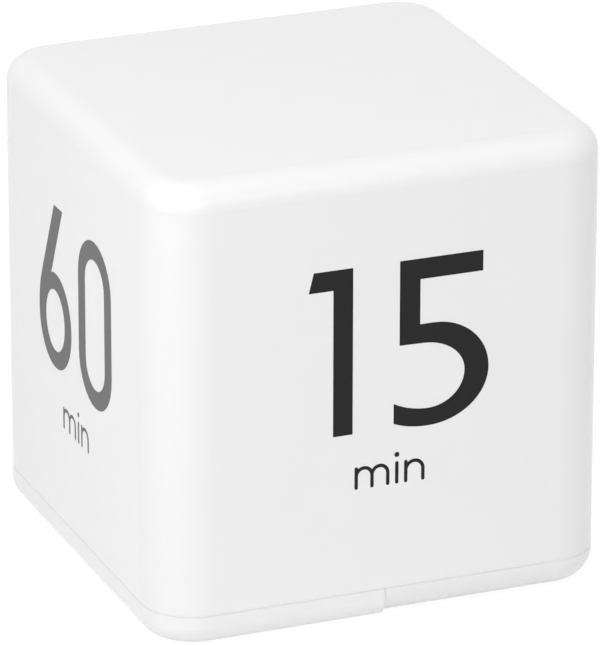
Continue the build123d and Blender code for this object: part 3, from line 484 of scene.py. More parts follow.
    def material(self, finish: Finish, zones: tuple[Zone, ...] = ()) -> bpy.types.Material:
        """Makes the material of a finish with zones of others, or returns the one made before.

        Args:
            finish: How it looks.
            zones: Parts of it that look otherwise, later ones over earlier ones.

        Returns:
            The material.
        """
        key = (finish, zones)
        if key in self.made:
            return self.made[key]
        material = bpy.data.materials.new("_".join([finish.name, *[zone.finish.name for zone in zones]]))
        material.use_nodes = True
        nodes = Nodes(material.node_tree)
        place = nodes.add("TexCoord").outputs["Object"]
        colour, roughness, height = self._coat(nodes, finish, place)
        metallic = finish.metallic
        for zone in zones:
            inputs = {"Place": place, "Centre": zone.centre, "Spread": zone.spread,
                      "Distance": zone.distance}
            share = nodes.add("Group", inputs, node_tree=self.zones).outputs["Beyond"]
            if zone.within:
                share = nodes.compute("SUBTRACT", 1.0, share)
            other_colour, other_roughness, _ = self._coat(nodes, zone.finish, place)
            colour = nodes.mix(share, colour, other_colour)
            roughness = nodes.mix(share, roughness, other_roughness, "FLOAT")
            if metallic != zone.finish.metallic:
                metallic = nodes.mix(share, metallic, zone.finish.metallic, "FLOAT")
        bump = nodes.add("Bump", {"Distance": finish.relief_depth, "Height": height}).outputs[0]
        looks = {"Base Color": colour, "Roughness": roughness, "Metallic": metallic,
                 "Specular IOR Level": finish.specular, "Normal": bump}
        # Painted light: an emission inside narrow gaps that lightens the seams, standing in for light
        # carried through thin plastic edges.
        if finish.painted_gap_glow:
            gap = nodes.add("Group", {"Reach": self.gap_reach}, node_tree=self.gaps).outputs["Gap"]
            looks["Emission Color"] = nodes.mix(gap, BLACK, (finish.painted_gap_glow,) * 3)
            looks["Emission Strength"] = 1.0
        shader = material.node_tree.nodes["Principled BSDF"]
        for label, value in looks.items():
            nodes.feed(shader.inputs[label], value)
        self.made[key] = material
        return material

    def dress(self, piece: Piece, finish: Finish, *zones: Zone) -> None:
        """Gives a piece one finish, and other ones in its zones.

        Args:
            piece: The piece.
            finish: Its finish.
            zones: Its zones.
        """
        piece.data.materials.clear()
        piece.data.materials.append(self.material(finish, zones))
        log.info("%s: %s", piece.name, ", ".join([finish.name, *[zone.finish.name for zone in zones]]))


def add_object(name: str, data: bpy.types.ID) -> Piece:
    """Adds an object with its data to the scene.

    Args:
        name: Name of the object.
        data: Its mesh, curve, lamp or camera.

    Returns:
        The object.
    """
    added = bpy.data.objects.new(name, data)
    bpy.context.scene.collection.objects.link(added)
    return added


def way_to(azimuth: float, elevation: float) -> Vector:
    """Direction from the cube, by the angle round it from its front and the one above the floor."""
    turn, lift = math.radians(azimuth), math.radians(elevation)
    return Vector((math.sin(turn) * math.cos(lift), -math.cos(turn) * math.cos(lift), math.sin(lift)))


@dataclass
class PhotoView:
    """The camera, at the photograph's angle.

    Attributes:
        azimuth: Angle round the cube from its front, towards its right side.
        elevation: Angle above the floor.
        roll: Turn of the image about its middle.
        focal_pixels: Focal length, in pixels of the photograph.
        image_pixels: Longer side of the photograph, in pixels.
        sensor: Length of the sensor along that side, in millimetres.
        far_end: How far the camera sees.
        aim: Middle of the cube, along Y and Z.
        shift: How far the camera stands off the aim: right, up and back.
    """

    azimuth: float = -21.866
    elevation: float = 21.175
    roll: float = -0.06
    focal_pixels: float = 6244.557
    image_pixels: float = 645
    sensor: float = 36.0
    far_end: float = 20.0
    aim: Point = (0.0, 0.03175)
    shift: Place = (0.000319, -0.001455, 0.83619)

    def build(self) -> Piece:
        """Adds the camera and makes it the scene's own.

        Returns:
            The camera.
        """
        turn = math.radians(self.azimuth)
        back = way_to(self.azimuth, self.elevation)
        level = Vector((math.cos(turn), math.sin(turn), 0.0))
        right = Matrix.Rotation(math.radians(-self.roll), 3, back) @ level
        up = back.cross(right)
        data = bpy.data.cameras.new("photo_camera")
        data.sensor_width = self.sensor
        data.lens = self.sensor * (self.focal_pixels / self.image_pixels)
        data.clip_end = self.far_end
        camera = add_object("photo_camera", data)
        across, above, away = self.shift
        place = Vector((0.0, *self.aim)) + right * across + up * above + back * away
        camera.matrix_world = Matrix.Translation(place) @ Matrix((right, up, back)).transposed().to_4x4()
        bpy.context.scene.camera = camera
        return camera


@dataclass(frozen=True)
class SoftBox:
    """One soft lamp, which faces the middle of the cube.

    Attributes:
        name: Name of the lamp.
        azimuth: Angle round the cube from its front, towards its right side.
        elevation: Angle above the floor.
        distance: Distance from the point that it faces.
        width: Its size across.
        height: Its size upwards.
        power: Its power, in watts.
        aim_height: Height of the point that it faces.
    """

    name: str
    azimuth: float
    elevation: float
    distance: float
    width: float
    height: float
    power: float
    aim_height: float = 0.03

    def build(self) -> Piece:
        """Adds the lamp.

        Returns:
            The lamp.
        """
        data = bpy.data.lights.new(self.name, "AREA")
        data.shape = "RECTANGLE"
        data.size, data.size_y = self.width, self.height
        data.energy = self.power
        lamp = add_object(self.name, data)
        way = way_to(self.azimuth, self.elevation)
        lamp.location = way * self.distance + Vector((0.0, 0.0, self.aim_height))
        lamp.rotation_euler = way.to_track_quat("Z", "Y").to_euler()
        return lamp


@dataclass
class Studio:
    """Floor, soft sky and soft lamps.

    Attributes:
        floor_half: Half the floor's side.
        floor_drop: How far it lies below the cube's feet.
        sky: Strength of the sky's light.
        floor_tone: Colour of the floor as the object sees it.
        floor_shown_tone: Colour of the floor's own shading as the camera sees it.
        floor_glow: Plain white that the camera sees over that shading.
        boxes: The lamps.
    """

    floor_half: float = 3.0
    floor_drop: float = 0.0001
    sky: float = 0.545
    floor_tone: Colour = (0.85, 0.85, 0.85)
    floor_shown_tone: Colour = (0.25, 0.25, 0.25)
    floor_glow: float = 0.86
    boxes: tuple[SoftBox, ...] = (
        SoftBox("overhead", -40.0, 71.0, 0.9, 0.45, 0.45, 3.05),
        SoftBox("left", -70.0, 20.0, 0.2, 0.1, 0.12, 0.06),
        SoftBox("front_high", 0.0, 28.0, 0.8, 0.5, 0.14, 0.55),
        SoftBox("front_low", -10.0, 8.0, 0.8, 0.5, 0.3, 0.47),
    )

    @staticmethod
    def _seen_as(nodes: Nodes, lit: Socket, shown: Socket) -> Socket:
        """Adds a mix of what lights the cube and what the camera sees in its place.

        Args:
            nodes: What adds the nodes.
            lit: Shader that lights the cube.
            shown: Shader seen directly, in a mirror or through glass.

        Returns:
            The socket of the mixture.
        """
        path = nodes.add("LightPath").outputs
        seen = nodes.compute("MAXIMUM", path["Is Camera Ray"], path["Is Glossy Ray"])
        seen = nodes.compute("MAXIMUM", seen, path["Is Transmission Ray"])
        return nodes.add("MixShader", {0: seen, 1: lit, 2: shown}).outputs[0]

    def build_sky(self) -> None:
        """Adds the sky: white to the camera, soft light to the cube."""
        world = bpy.data.worlds.new("soft_sky")
        bpy.context.scene.world = world
        world.use_nodes = True
        nodes = Nodes(world.node_tree)
        lit = world.node_tree.nodes["Background"]
        nodes.feed(lit.inputs["Color"], WHITE)
        nodes.feed(lit.inputs["Strength"], self.sky)
        shown = nodes.add("Background", {"Color": WHITE}).outputs[0]
        result = world.node_tree.nodes["World Output"].inputs["Surface"]
        nodes.feed(result, self._seen_as(nodes, lit.outputs[0], shown))

    def build_floor(self) -> Piece:
        """Adds the pale floor, which keeps the cube's shadow and can't be seen from below.

        Returns:
            The floor.
        """
        half = self.floor_half
        mesh = bpy.data.meshes.new("floor")
        corners = box_outline((-half, -half), (half, half))
        mesh.from_pydata([(x, y, -self.floor_drop) for x, y in corners], [], [(0, 1, 2, 3)])
        floor = add_object("floor", mesh)
        material = bpy.data.materials.new("pale_floor")
        material.use_nodes = True
        tree = material.node_tree
        tree.nodes.remove(tree.nodes["Principled BSDF"])
        nodes = Nodes(tree)
        lit = nodes.add("BsdfDiffuse", {"Color": (*self.floor_tone, 1.0)}).outputs[0]
        shaded = nodes.add("BsdfDiffuse", {"Color": (*self.floor_shown_tone, 1.0)}).outputs[0]
        glow = nodes.add("Emission", {"Strength": self.floor_glow}).outputs[0]
        shown = nodes.add("AddShader", {0: shaded, 1: glow}).outputs[0]
        upper = self._seen_as(nodes, lit, shown)
        below = nodes.add("NewGeometry").outputs["Backfacing"]
        clear = nodes.add("BsdfTransparent").outputs[0]
        one_sided = nodes.add("MixShader", {0: below, 1: upper, 2: clear}).outputs[0]
        nodes.feed(tree.nodes["Material Output"].inputs["Surface"], one_sided)
        mesh.materials.append(material)
        return floor

    def build(self) -> None:
        """Adds sky, floor and lamps."""
        self.build_sky()
        self.build_floor()
        for box in self.boxes:
            box.build()
        bpy.context.scene.view_settings.view_transform = "Standard"


def arc(centre: Point, radii: Point, start: float, finish: float, steps: int = 16) -> Contour:
    """Points of an oval's arc.

    Args:
        centre: Middle of the oval.
        radii: Its half width and half height.
        start: Angle of the first point.
        finish: Angle of the last point.
        steps: Number of steps between them.

    Returns:
        The points, both ends included.
    """
    angles = [math.radians(start + (finish - start) * i / steps) for i in range(steps + 1)]
    return [(centre[0] + radii[0] * math.cos(a), centre[1] + radii[1] * math.sin(a)) for a in angles]


def oval(centre: Point, radii: Point, steps: int) -> Contour:
    """Points of a whole oval, each once."""
    return arc(centre, radii, 0, 360, steps)[:-1]


def bezier(start: Point, first: Point, second: Point, finish: Point, steps: int = 16) -> Contour:
    """Points of a cubic curve, without its start.

    Args:
        start: First end.
        first: Handle of the first end.
        second: Handle of the last end.
        finish: Last end.
        steps: Number of steps.

    Returns:
        The points after the start, the finish included.
    """
    points = []
    for step in range(1, steps + 1):
        t = step / steps
        shares = ((1 - t) ** 3, 3 * t * (1 - t) ** 2, 3 * t * t * (1 - t), t**3)
        ends = (start, first, second, finish)
        points.append(tuple(sum(share * end[i] for share, end in zip(shares, ends)) for i in (0, 1)))
    return points


def swing(start: Point, finish: Point, level_first: bool, fullness: float = 0.552) -> Contour:
    """Points of a quarter of an oval, without its start.

    Args:
        start: First end.
        finish: Last end.
        level_first: Whether it leaves the start level and arrives upright, or the other way.
        fullness: Reach of the handles, as a share of the quarter.

    Returns:
        The points after the start, the finish included.
    """
    across, along = (finish[0] - start[0]) * fullness, (finish[1] - start[1]) * fullness
    if level_first:
        handles = (start[0] + across, start[1]), (finish[0], finish[1] - along)
    else:
        handles = (start[0], start[1] + along), (finish[0] - across, finish[1])
    return bezier(start, *handles, finish)


def moved(outlines: list[Contour], by: Point) -> list[Contour]:
    """The same outlines in another place."""
    return [[(x + by[0], y + by[1]) for x, y in outline] for outline in outlines]


@dataclass(frozen=True)
class Numerals:
    """Large figures, drawn plainly with strokes of nearly one thickness, from their lower left.

    The plain numbers in its methods place corners and the handles of curves.

    Attributes:
        height: Height of a figure.
        stem: Thickness of upright strokes.
        bar: Thickness of level strokes.
        bowl: Thickness at the side of an open bowl.
        overshoot: How far round strokes pass the base line.
        tail: Height of the lower and upper corner of an open bowl's end, above its bottom.
        flag: Width and height of a one's flag.
        flag_slant: How far the flag's end slants.
        stem_share: How far the stem stands off the flag, as a share of that slant.
        five_width: Width of a five or a three.
        five_stem_left: Left side of a five's stem.
        five_bar_right: Right end of its bar.
        five_bowl_top: Top of its bowl.
        five_stem_foot: Foot of its stem.
        five_turns: Where its bowl is highest and lowest, as shares of its width.
        five_thinning: Thickness of its bowl there, as shares of the bar.
        five_stem_share: Thickness of its stem, as a share of the stem of a one.
        round_width: Width of a six or a nought.
        round_stroke: Thickness of their strokes.
        six_bowl_height: Height of a six's bowl.
        six_lift: How much higher it stands than other round figures.
        six_tip_width: Width of the slanted stroke's end.
        six_slope: Rise of the slanted stroke for each unit across.
        six_shoulder: Where that stroke starts, from the left.
        six_shoulder_share: How high it starts, as a share of the bowl's upper half.
        six_thinning: Thickness of the bowl's top and bottom, as a share of the stroke.
        six_steps: Number of sides of the bowl's hole.
        three_upper_share: Width of a three's upper bowl, as a share of its width.
        three_waist_share: Height of its waist, as a share of its height.
        three_turn: Where its bowls are highest and lowest, as a share of its width.
        three_thinning: Thickness of its bowls there, as a share of the bar.
    """

    height: float = 0.02303
    stem: float = 0.00273
    bar: float = 0.00284
    bowl: float = 0.0034
    overshoot: float = 0.0003
    tail: Point = (0.0009, 0.0037)
    flag: Point = (0.00335, 0.00275)
    flag_slant: float = 0.0007
    stem_share: float = 0.1
    five_width: float = 0.01335
    five_stem_left: float = 0.00077
    five_bar_right: float = 0.01243
    five_bowl_top: float = 0.01395
    five_stem_foot: float = 0.01138
    five_turns: Point = (0.42, 0.36)
    five_thinning: Point = (0.93, 0.86)
    five_stem_share: float = 1.05
    round_width: float = 0.01245
    round_stroke: float = 0.00259
    six_bowl_height: float = 0.01354
    six_lift: float = 0.00013
    six_tip_width: float = 0.0032
    six_slope: float = 2.155
    six_shoulder: float = 0.0012
    six_shoulder_share: float = 0.82
    six_thinning: float = 0.94
    six_steps: int = 40
    three_upper_share: float = 0.93
    three_waist_share: float = 0.545
    three_turn: float = 0.45
    three_thinning: float = 0.92

    def figure(self, sign: str) -> list[Contour]:
        """Outlines of a 0, 1, 3, 5 or 6."""
        return {"0": self.nought, "1": self.one, "3": self.three, "5": self.five, "6": self.six}[sign]()

    def one(self) -> list[Contour]:
        """A stem with a slanted flag.

        Returns:
            Its outline.
        """
        left = self.flag[0] + self.flag_slant * self.stem_share
        right, under = left + self.stem, self.height - self.flag[1]
        return [[(left, 0.0), (right, 0.0), (right, self.height), (self.flag_slant, self.height),
                 (0.0, under), (left, under)]]

    def five(self) -> list[Contour]:
        """A bar, a short stem and a wide open bowl.

        Returns:
            Its outline.
        """
        left, top = self.five_stem_left, self.height
        right, bottom = self.five_width, -self.overshoot
        waist = (self.five_bowl_top + bottom) / 2
        turn, low_turn = (self.five_width * share for share in self.five_turns)
        thick, low_thick = (self.bar * share for share in self.five_thinning)
        inner_top, inner_bottom = self.five_bowl_top - thick, bottom + low_thick
        inner_left, under = left + self.stem * self.five_stem_share, top - self.bar
        tip_low, tip_high = (bottom + rise for rise in self.tail)
        outline = [(left, top), (left, self.five_stem_foot), (turn * 0.72, inner_top)]
        outline += swing(outline[-1], (right - self.bowl, waist), True)
        outline += swing(outline[-1], (low_turn, inner_bottom), False)
        outline += bezier(outline[-1], (low_turn * 0.7, inner_bottom),
                          (low_turn * 0.3, inner_bottom + 0.0004), (0.0, tip_high))
        outline += [(0.0, tip_low)]
        outline += bezier(outline[-1], (low_turn * 0.3, bottom + 0.0003), (low_turn * 0.6, bottom),
                          (low_turn, bottom))
        outline += swing(outline[-1], (right, waist), True)
        outline += swing(outline[-1], (turn, self.five_bowl_top), False)
        outline += [(inner_left, self.five_bowl_top), (inner_left, under), (self.five_bar_right, under),
                    (self.five_bar_right, top)]
        return [outline]

    def nought(self) -> list[Contour]:
        """Two straight sides joined by round ends.

        Returns:
            Its outer and inner outline.
        """
        middle = self.round_width / 2
        outlines = []
        for inset in (0.0, self.round_stroke):
            half = middle - inset
            low, high = -self.overshoot + inset, self.height - inset
            upper = arc((middle, high - half), (half, half), 0, 180)
            outlines.append(upper + arc((middle, low + half), (half, half), 180, 360))
        return outlines

    def six(self) -> list[Contour]:
        """A round bowl with a straight slanted stroke that leaves it at its left side.

        Returns:
            Its outer and inner outline.
        """
        half, stroke = self.round_width / 2, self.round_stroke
        low = self.six_lift - self.overshoot
        high = low + self.six_bowl_height
        waist = (low + high) / 2
        shoulder = (self.six_shoulder, waist + (high - waist) * self.six_shoulder_share)
        tip = (shoulder[0] + (self.height - shoulder[1]) / self.six_slope, self.height)
        tip_right = tip[0] + self.six_tip_width
        join_y = high - 0.0003
        join_x = tip_right - (self.height - join_y) / self.six_slope
        outline = [(tip_right, self.height), tip, shoulder]
        outline += bezier(shoulder, (0.0004, shoulder[1] - 0.0017), (0.0, waist + 0.0022), (0.0, waist))
        outline += swing(outline[-1], (half, low), False)
        outline += swing(outline[-1], (2 * half, waist), True)
        outline += swing(outline[-1], (half + 0.0003, high), False)
        outline += bezier(outline[-1], (half - 0.0004, high), (join_x + 0.0006, high - 0.0001),
                          (join_x, join_y))
        hole = (half - stroke, (high - low) / 2 - stroke * self.six_thinning)
        return [outline, oval((half, waist), hole, self.six_steps)]

    def three(self) -> list[Contour]:
        """Two open bowls, the lower one larger.

        Returns:
            Its outline.
        """
        right, top, low = self.five_width, self.height, -self.overshoot
        upper_right, mid = right * self.three_upper_share, right * self.three_turn
        waist = self.height * self.three_waist_share
        upper, lower = (top + waist) / 2 + 0.0003, (waist + low) / 2 - 0.0002
        thick = self.bar * self.three_thinning
        tip_low, tip_high = (low + rise for rise in self.tail)
        tip, tongue = right * 0.08, right * 0.22
        tongue_low, tongue_high = waist - thick * 0.9, waist + thick * 0.06
        outline = [(tip, top - 0.0007)]
        outline += bezier(outline[-1], (right * 0.2, top - 0.0002), (mid - 0.001, top), (mid, top))
        outline += swing(outline[-1], (upper_right, upper), True)
        outline += swing(outline[-1], (right * 0.74, waist - thick * 0.42), False)
        outline += swing(outline[-1], (right, lower), True)
        outline += swing(outline[-1], (mid, low), False)
        outline += bezier(outline[-1], (mid * 0.6, low), (mid * 0.3, low + 0.0004), (0.0, tip_low))
        outline += [(0.0, tip_high)]
        outline += bezier(outline[-1], (mid * 0.3, low + 0.0028), (mid * 0.7, low + thick),
                          (mid, low + thick))
        outline += swing(outline[-1], (right - self.bowl, lower), True)
        outline += swing(outline[-1], (mid, tongue_low), False)
        outline += [(tongue, tongue_low), (tongue, tongue_high), (mid, tongue_high)]
        outline += swing(outline[-1], (upper_right - self.bowl * 0.9, upper), True)
        outline += swing(outline[-1], (mid, top - thick), False)
        outline += bezier(outline[-1], (mid - 0.0012, top - thick), (tongue, top - thick - 0.0002),
                          (tip, top - 0.0035))
        return [outline]


@dataclass(frozen=True)
class SmallLetters:
    """Lower-case letters of a thin round-ended pen.

    Attributes:
        height: Height of a letter without a tail.
        pen: Thickness of the stroke.
        narrow: Spacing of the stems of an m.
        wide: Spacing of the stems of an n.
        gap: From one letter's last stem to the next letter's first.
        dot: Diameter of the dot.
        dot_height: Height of the dot's middle.
        arch_share: Height of an arch, as a share of its half width.
        tip_steps: Number of steps round the end of a stroke.
        arch_steps: Number of steps over an arch.
        dot_steps: Number of sides of the dot.
    """

    height: float = 0.00317
    pen: float = 0.00048
    narrow: float = 0.00222
    wide: float = 0.00242
    gap: float = 0.00127
    dot: float = 0.0007
    dot_height: float = 0.00411
    arch_share: float = 1.02
    tip_steps: int = 6
    arch_steps: int = 14
    dot_steps: int = 18

    def head(self, stem: float) -> Contour:
        """Round top of a stem, from left to right."""
        half = self.pen / 2
        return arc((stem, self.height - half), (half, half), 180, 0, self.tip_steps)

    def foot(self, stem: float) -> Contour:
        """Round foot of a stem, from right to left."""
        half = self.pen / 2
        return arc((stem, half), (half, half), 0, -180, self.tip_steps)

    def arched(self, stems: list[float]) -> Contour:
        """Outline of an n or m: stems joined at the top by round arches.

        Args:
            stems: Where each stem's middle is.

        Returns:
            The outline.
        """
        half = self.pen / 2
        arches = list(zip(stems, stems[1:]))
        reach = (stems[1] - stems[0]) / 2
        rise = reach * self.arch_share
        spring = self.height - half - rise
        outer, inner = (reach + half, rise + half), (reach - half, rise - half)
        outline = self.head(stems[0])
        for i, (left, right) in enumerate(arches):
            entry = (reach - half) / outer[0] if i == 0 else reach / outer[0]
            start = 180 - math.degrees(math.acos(entry))
            finish = 0.0 if i == len(arches) - 1 else math.degrees(math.acos(reach / outer[0]))
            outline += arc(((left + right) / 2, spring), outer, start, finish, self.arch_steps)
        for left, right in reversed(arches):
            outline += self.foot(right)
            outline += arc(((right + left) / 2, spring), inner, 0, 180, self.arch_steps)
        return outline + self.foot(stems[0])

    def word(self) -> list[Contour]:
        """The word min.

        Returns:
            Outlines of its letters and of the dot.
        """
        half = self.pen / 2
        m_stems = [half, half + self.narrow, half + 2 * self.narrow]
        i_stem = m_stems[-1] + self.gap
        n_stems = [i_stem + self.gap, i_stem + self.gap + self.wide]
        dot = oval((i_stem, self.dot_height), (self.dot / 2, self.dot / 2), self.dot_steps)
        return [self.arched(m_stems), self.head(i_stem) + self.foot(i_stem), dot, self.arched(n_stems)]


@dataclass(frozen=True)
class Capitals:
    """Plain capitals for the marks underneath.

    Attributes:
        height: Height of a letter.
        width: Width of a letter.
        pen: Thickness of the stroke.
        gap: Space between letters.
        slant: How far an N's slant runs down along its stems, in strokes.
        short_bar: Length of an F's lower bar, as a share of its width.
        oval_steps: Number of sides of an O.
    """

    height: float = 0.0018
    width: float = 0.0013
    pen: float = 0.00028
    gap: float = 0.00045
    slant: float = 1.6
    short_bar: float = 0.85
    oval_steps: int = 28

    def letter(self, sign: str) -> list[Contour]:
        """Draws an O, N or F.

        Args:
            sign: Which letter.

        Returns:
            Its outlines.
        """
        wide, high, pen = self.width, self.height, self.pen
        if sign == "O":
            middle = (wide / 2, high / 2)
            inner = (middle[0] - pen, middle[1] - pen)
            return [oval(middle, radii, self.oval_steps) for radii in (middle, inner)]
        if sign == "N":
            slant = pen * self.slant
            return [[(0, 0), (pen, 0), (pen, high - slant), (wide - pen, 0), (wide, 0), (wide, high),
                     (wide - pen, high), (wide - pen, slant), (pen, high), (0, high)]]
        bar, short = (high + pen) / 2, wide * self.short_bar
        return [[(0, 0), (pen, 0), (pen, bar - pen), (short, bar - pen), (short, bar), (pen, bar),
                 (pen, high - pen), (wide, high - pen), (wide, high), (0, high)]]

    def word(self, signs: str) -> list[Contour]:
        """Draws a word about its middle.

        Args:
            signs: Its letters.

        Returns:
            Their outlines.
        """
        step = self.width + self.gap
        start = -(len(signs) * step - self.gap) / 2
        outlines = []
        for i, sign in enumerate(signs):
            outlines += moved(self.letter(sign), (start + i * step, -self.height / 2))
        return outlines


def box_outline(low: Point, high: Point) -> Contour:
    """Outline of a rectangle, from its lower left corner."""
    return [low, (high[0], low[1]), high, (low[0], high[1])]


def frame_outlines(low: Point, high: Point, pen: float) -> list[Contour]:
    """Outlines of a rectangular frame whose line lies outside the corners given."""
    outer = box_outline((low[0] - pen, low[1] - pen), (high[0] + pen, high[1] + pen))
    return [outer, box_outline(low, high)]


def ring_outlines(centre: Point, radius: float, pen: float) -> list[Contour]:
    """Outlines of a ring whose line lies outside the radius given."""
    return [oval(centre, (edge, edge), RING_STEPS) for edge in (radius + pen, radius)]


def track_outline(path: Path, width: float) -> Contour:
    """Outline of a line of one width along a path.

    Args:
        path: Points of the line's middle.
        width: Its width.

    Returns:
        The closed outline.
    """
    sides: tuple[Contour, Contour] = ([], [])
    for i, (x, y) in enumerate(path):
        ways = [Vector(path[j + 1]) - Vector(path[j]) for j in (i - 1, i) if 0 <= j < len(path) - 1]
        normals = [Vector((-way.y, way.x)).normalized() for way in ways]
        mean = sum(normals, Vector((0.0, 0.0))).normalized()
        reach = width / 2 / max(SHARPEST_CORNER, mean.dot(normals[0]))
        for side, sign in zip(sides, (1, -1)):
            side.append((x + mean.x * reach * sign, y + mean.y * reach * sign))
    return sides[0] + sides[1][::-1]


def weld(mesh: bpy.types.Mesh, distance: float = 0.000001) -> None:
    """Joins the points of a mesh that lie together, so that it closes.

    Args:
        mesh: The mesh.
        distance: How near to each other they lie.
    """
    work = bmesh.new()
    work.from_mesh(mesh)
    bmesh.ops.remove_doubles(work, verts=work.verts, dist=distance)
    bmesh.ops.recalc_face_normals(work, faces=work.faces)
    work.to_mesh(mesh)
    work.free()


def lay_film(
    name: str,
    outlines: list[Contour],
    face: Matrix,
    finish: Finish,
    body: str,
    kit: ShaderKit,
    proud: float = INK_PROUD,
) -> Piece:
    """Lays a thin film on a face, with holes where its outlines lie inside each other.

    Args:
        name: Name of the film.
        outlines: Its closed outlines.
        face: Takes the outlines' plane to the face, with +Z out of it.
        finish: What the film is made of.
        body: Body that it rides on.
        kit: Where its material comes from.
        proud: How far it stands out of the face.

    Returns:
        The film, as a closed mesh.
    """
    curve = bpy.data.curves.new(name, "CURVE")
    curve.dimensions = "2D"
    curve.fill_mode = "BOTH"
    curve.extrude = (proud + FILM_SUNK) / 2
    for outline in outlines:
        spline = curve.splines.new("POLY")
        spline.points.add(len(outline) - 1)
        for point, (x, y) in zip(spline.points, outline):
            point.co = (x, y, 0.0, 1.0)
        spline.use_cyclic_u = True
    drawn = add_object(name + "_curve", curve)
    mesh = bpy.data.meshes.new_from_object(drawn.evaluated_get(bpy.context.evaluated_depsgraph_get()))
    bpy.data.objects.remove(drawn)
    weld(mesh)
    mesh.transform(face @ Matrix.Translation((0.0, 0.0, (proud - FILM_SUNK) / 2)))
    mesh.name = name
    film = add_object(name, mesh)
    kit.dress(film, finish)
    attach(film, body)
    log.info("%s: %d outlines on body %s", name, len(outlines), body)
    return film


def skin(name: str, forms: list[list[list[Place]]]) -> Piece:
    """One piece of closed forms, each with walls between rings of points and a cap at both ends.

    Args:
        name: Name of the piece.
        forms: The rings of each form from end to end, with as many points in each.

    Returns:
        The piece.
    """
    work = bmesh.new()
    for form in forms:
        rings = [[work.verts.new(point) for point in ring] for ring in form]
        for first, second in zip(rings, rings[1:]):
            for i in range(len(first)):
                j = (i + 1) % len(first)
                work.faces.new((first[i], first[j], second[j], second[i]))
        work.faces.new(rings[0][::-1])
        work.faces.new(rings[-1])
    bmesh.ops.recalc_face_normals(work, faces=work.faces)
    mesh = bpy.data.meshes.new(name)
    work.to_mesh(mesh)
    work.free()
    return add_object(name, mesh)


def lathe(name: str, profiles: list[tuple[Place, Contour]], sides: int = 20) -> Piece:
    """One piece of smooth turned forms about upright axes.

    Args:
        name: Name of the piece.
        profiles: For each form its place and its (radius, height) points from end to end.
        sides: Number of sides of each form.

    Returns:
        The piece.
    """
    forms = []
    for (x, y, z), profile in profiles:
        levels = [(oval((x, y), (radius, radius), sides), z + height) for radius, height in profile]
        forms.append([[(*point, level) for point in circle] for circle, level in levels])
    piece = skin(name, forms)
    for face in piece.data.polygons:
        face.use_smooth = len(face.vertices) == 4
    return piece


def middle_of(node: str) -> Vector:
    """Middle of a node's box."""
    low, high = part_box(node)
    return (low + high) / 2


class CubeSide(Enum):
    """A numbered side: its figures and how far it is turned round from the front."""

    FRONT = ("15", 0.0)
    RIGHT = ("5", 90.0)
    BACK = ("30", 180.0)
    LEFT = ("60", -90.0)


@dataclass
class PrintedSide:
    """The print on one side of the cube.

    Attributes:
        side: Which side it is on.
        finish: The ink.
        starts: Where each figure starts, from the side's middle line.
        base_line: Height of the figures' base line.
        word_start: Where the word starts.
        word_line: Height of the word's base line.
        numerals: How the figures are drawn.
        letters: How the word is drawn.
    """

    side: CubeSide
    finish: Finish
    starts: list[float]
    base_line: float = 0.0268
    word_start: float = -0.0048
    word_line: float = 0.01893
    numerals: Numerals = Numerals()
    letters: SmallLetters = SmallLetters()

    def build(self, kit: ShaderKit) -> Piece:
        """Prints the figures and the word.

        Args:
            kit: Where the ink comes from.

        Returns:
            The film of ink, on the housing's body.
        """
        figures, turn = self.side.value
        outlines = []
        for sign, start in zip(figures, self.starts):
            outlines += moved(self.numerals.figure(sign), (start, self.base_line))
        outlines += moved(self.letters.word(), (self.word_start, self.word_line))
        wall = Matrix.Translation((0.0, -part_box("housing")[1].x, 0.0))
        upright = Matrix.Rotation(math.radians(90), 4, "X")
        face = Matrix.Rotation(math.radians(turn), 4, "Z") @ wall @ upright
        return lay_film(f"ink_{figures}", outlines, face, self.finish, "root", kit)


PRINTS = [
    PrintedSide(CubeSide.FRONT, DARK_INK, [-0.0112, 0.0007], word_start=-0.00475),
    PrintedSide(CubeSide.LEFT, GREY_INK, [-0.01365, 0.00172], base_line=0.02575, word_line=0.0179),
    PrintedSide(CubeSide.RIGHT, DARK_INK, [-0.0067]),
    PrintedSide(CubeSide.BACK, GREY_INK, [-0.01425, 0.00172]),
]


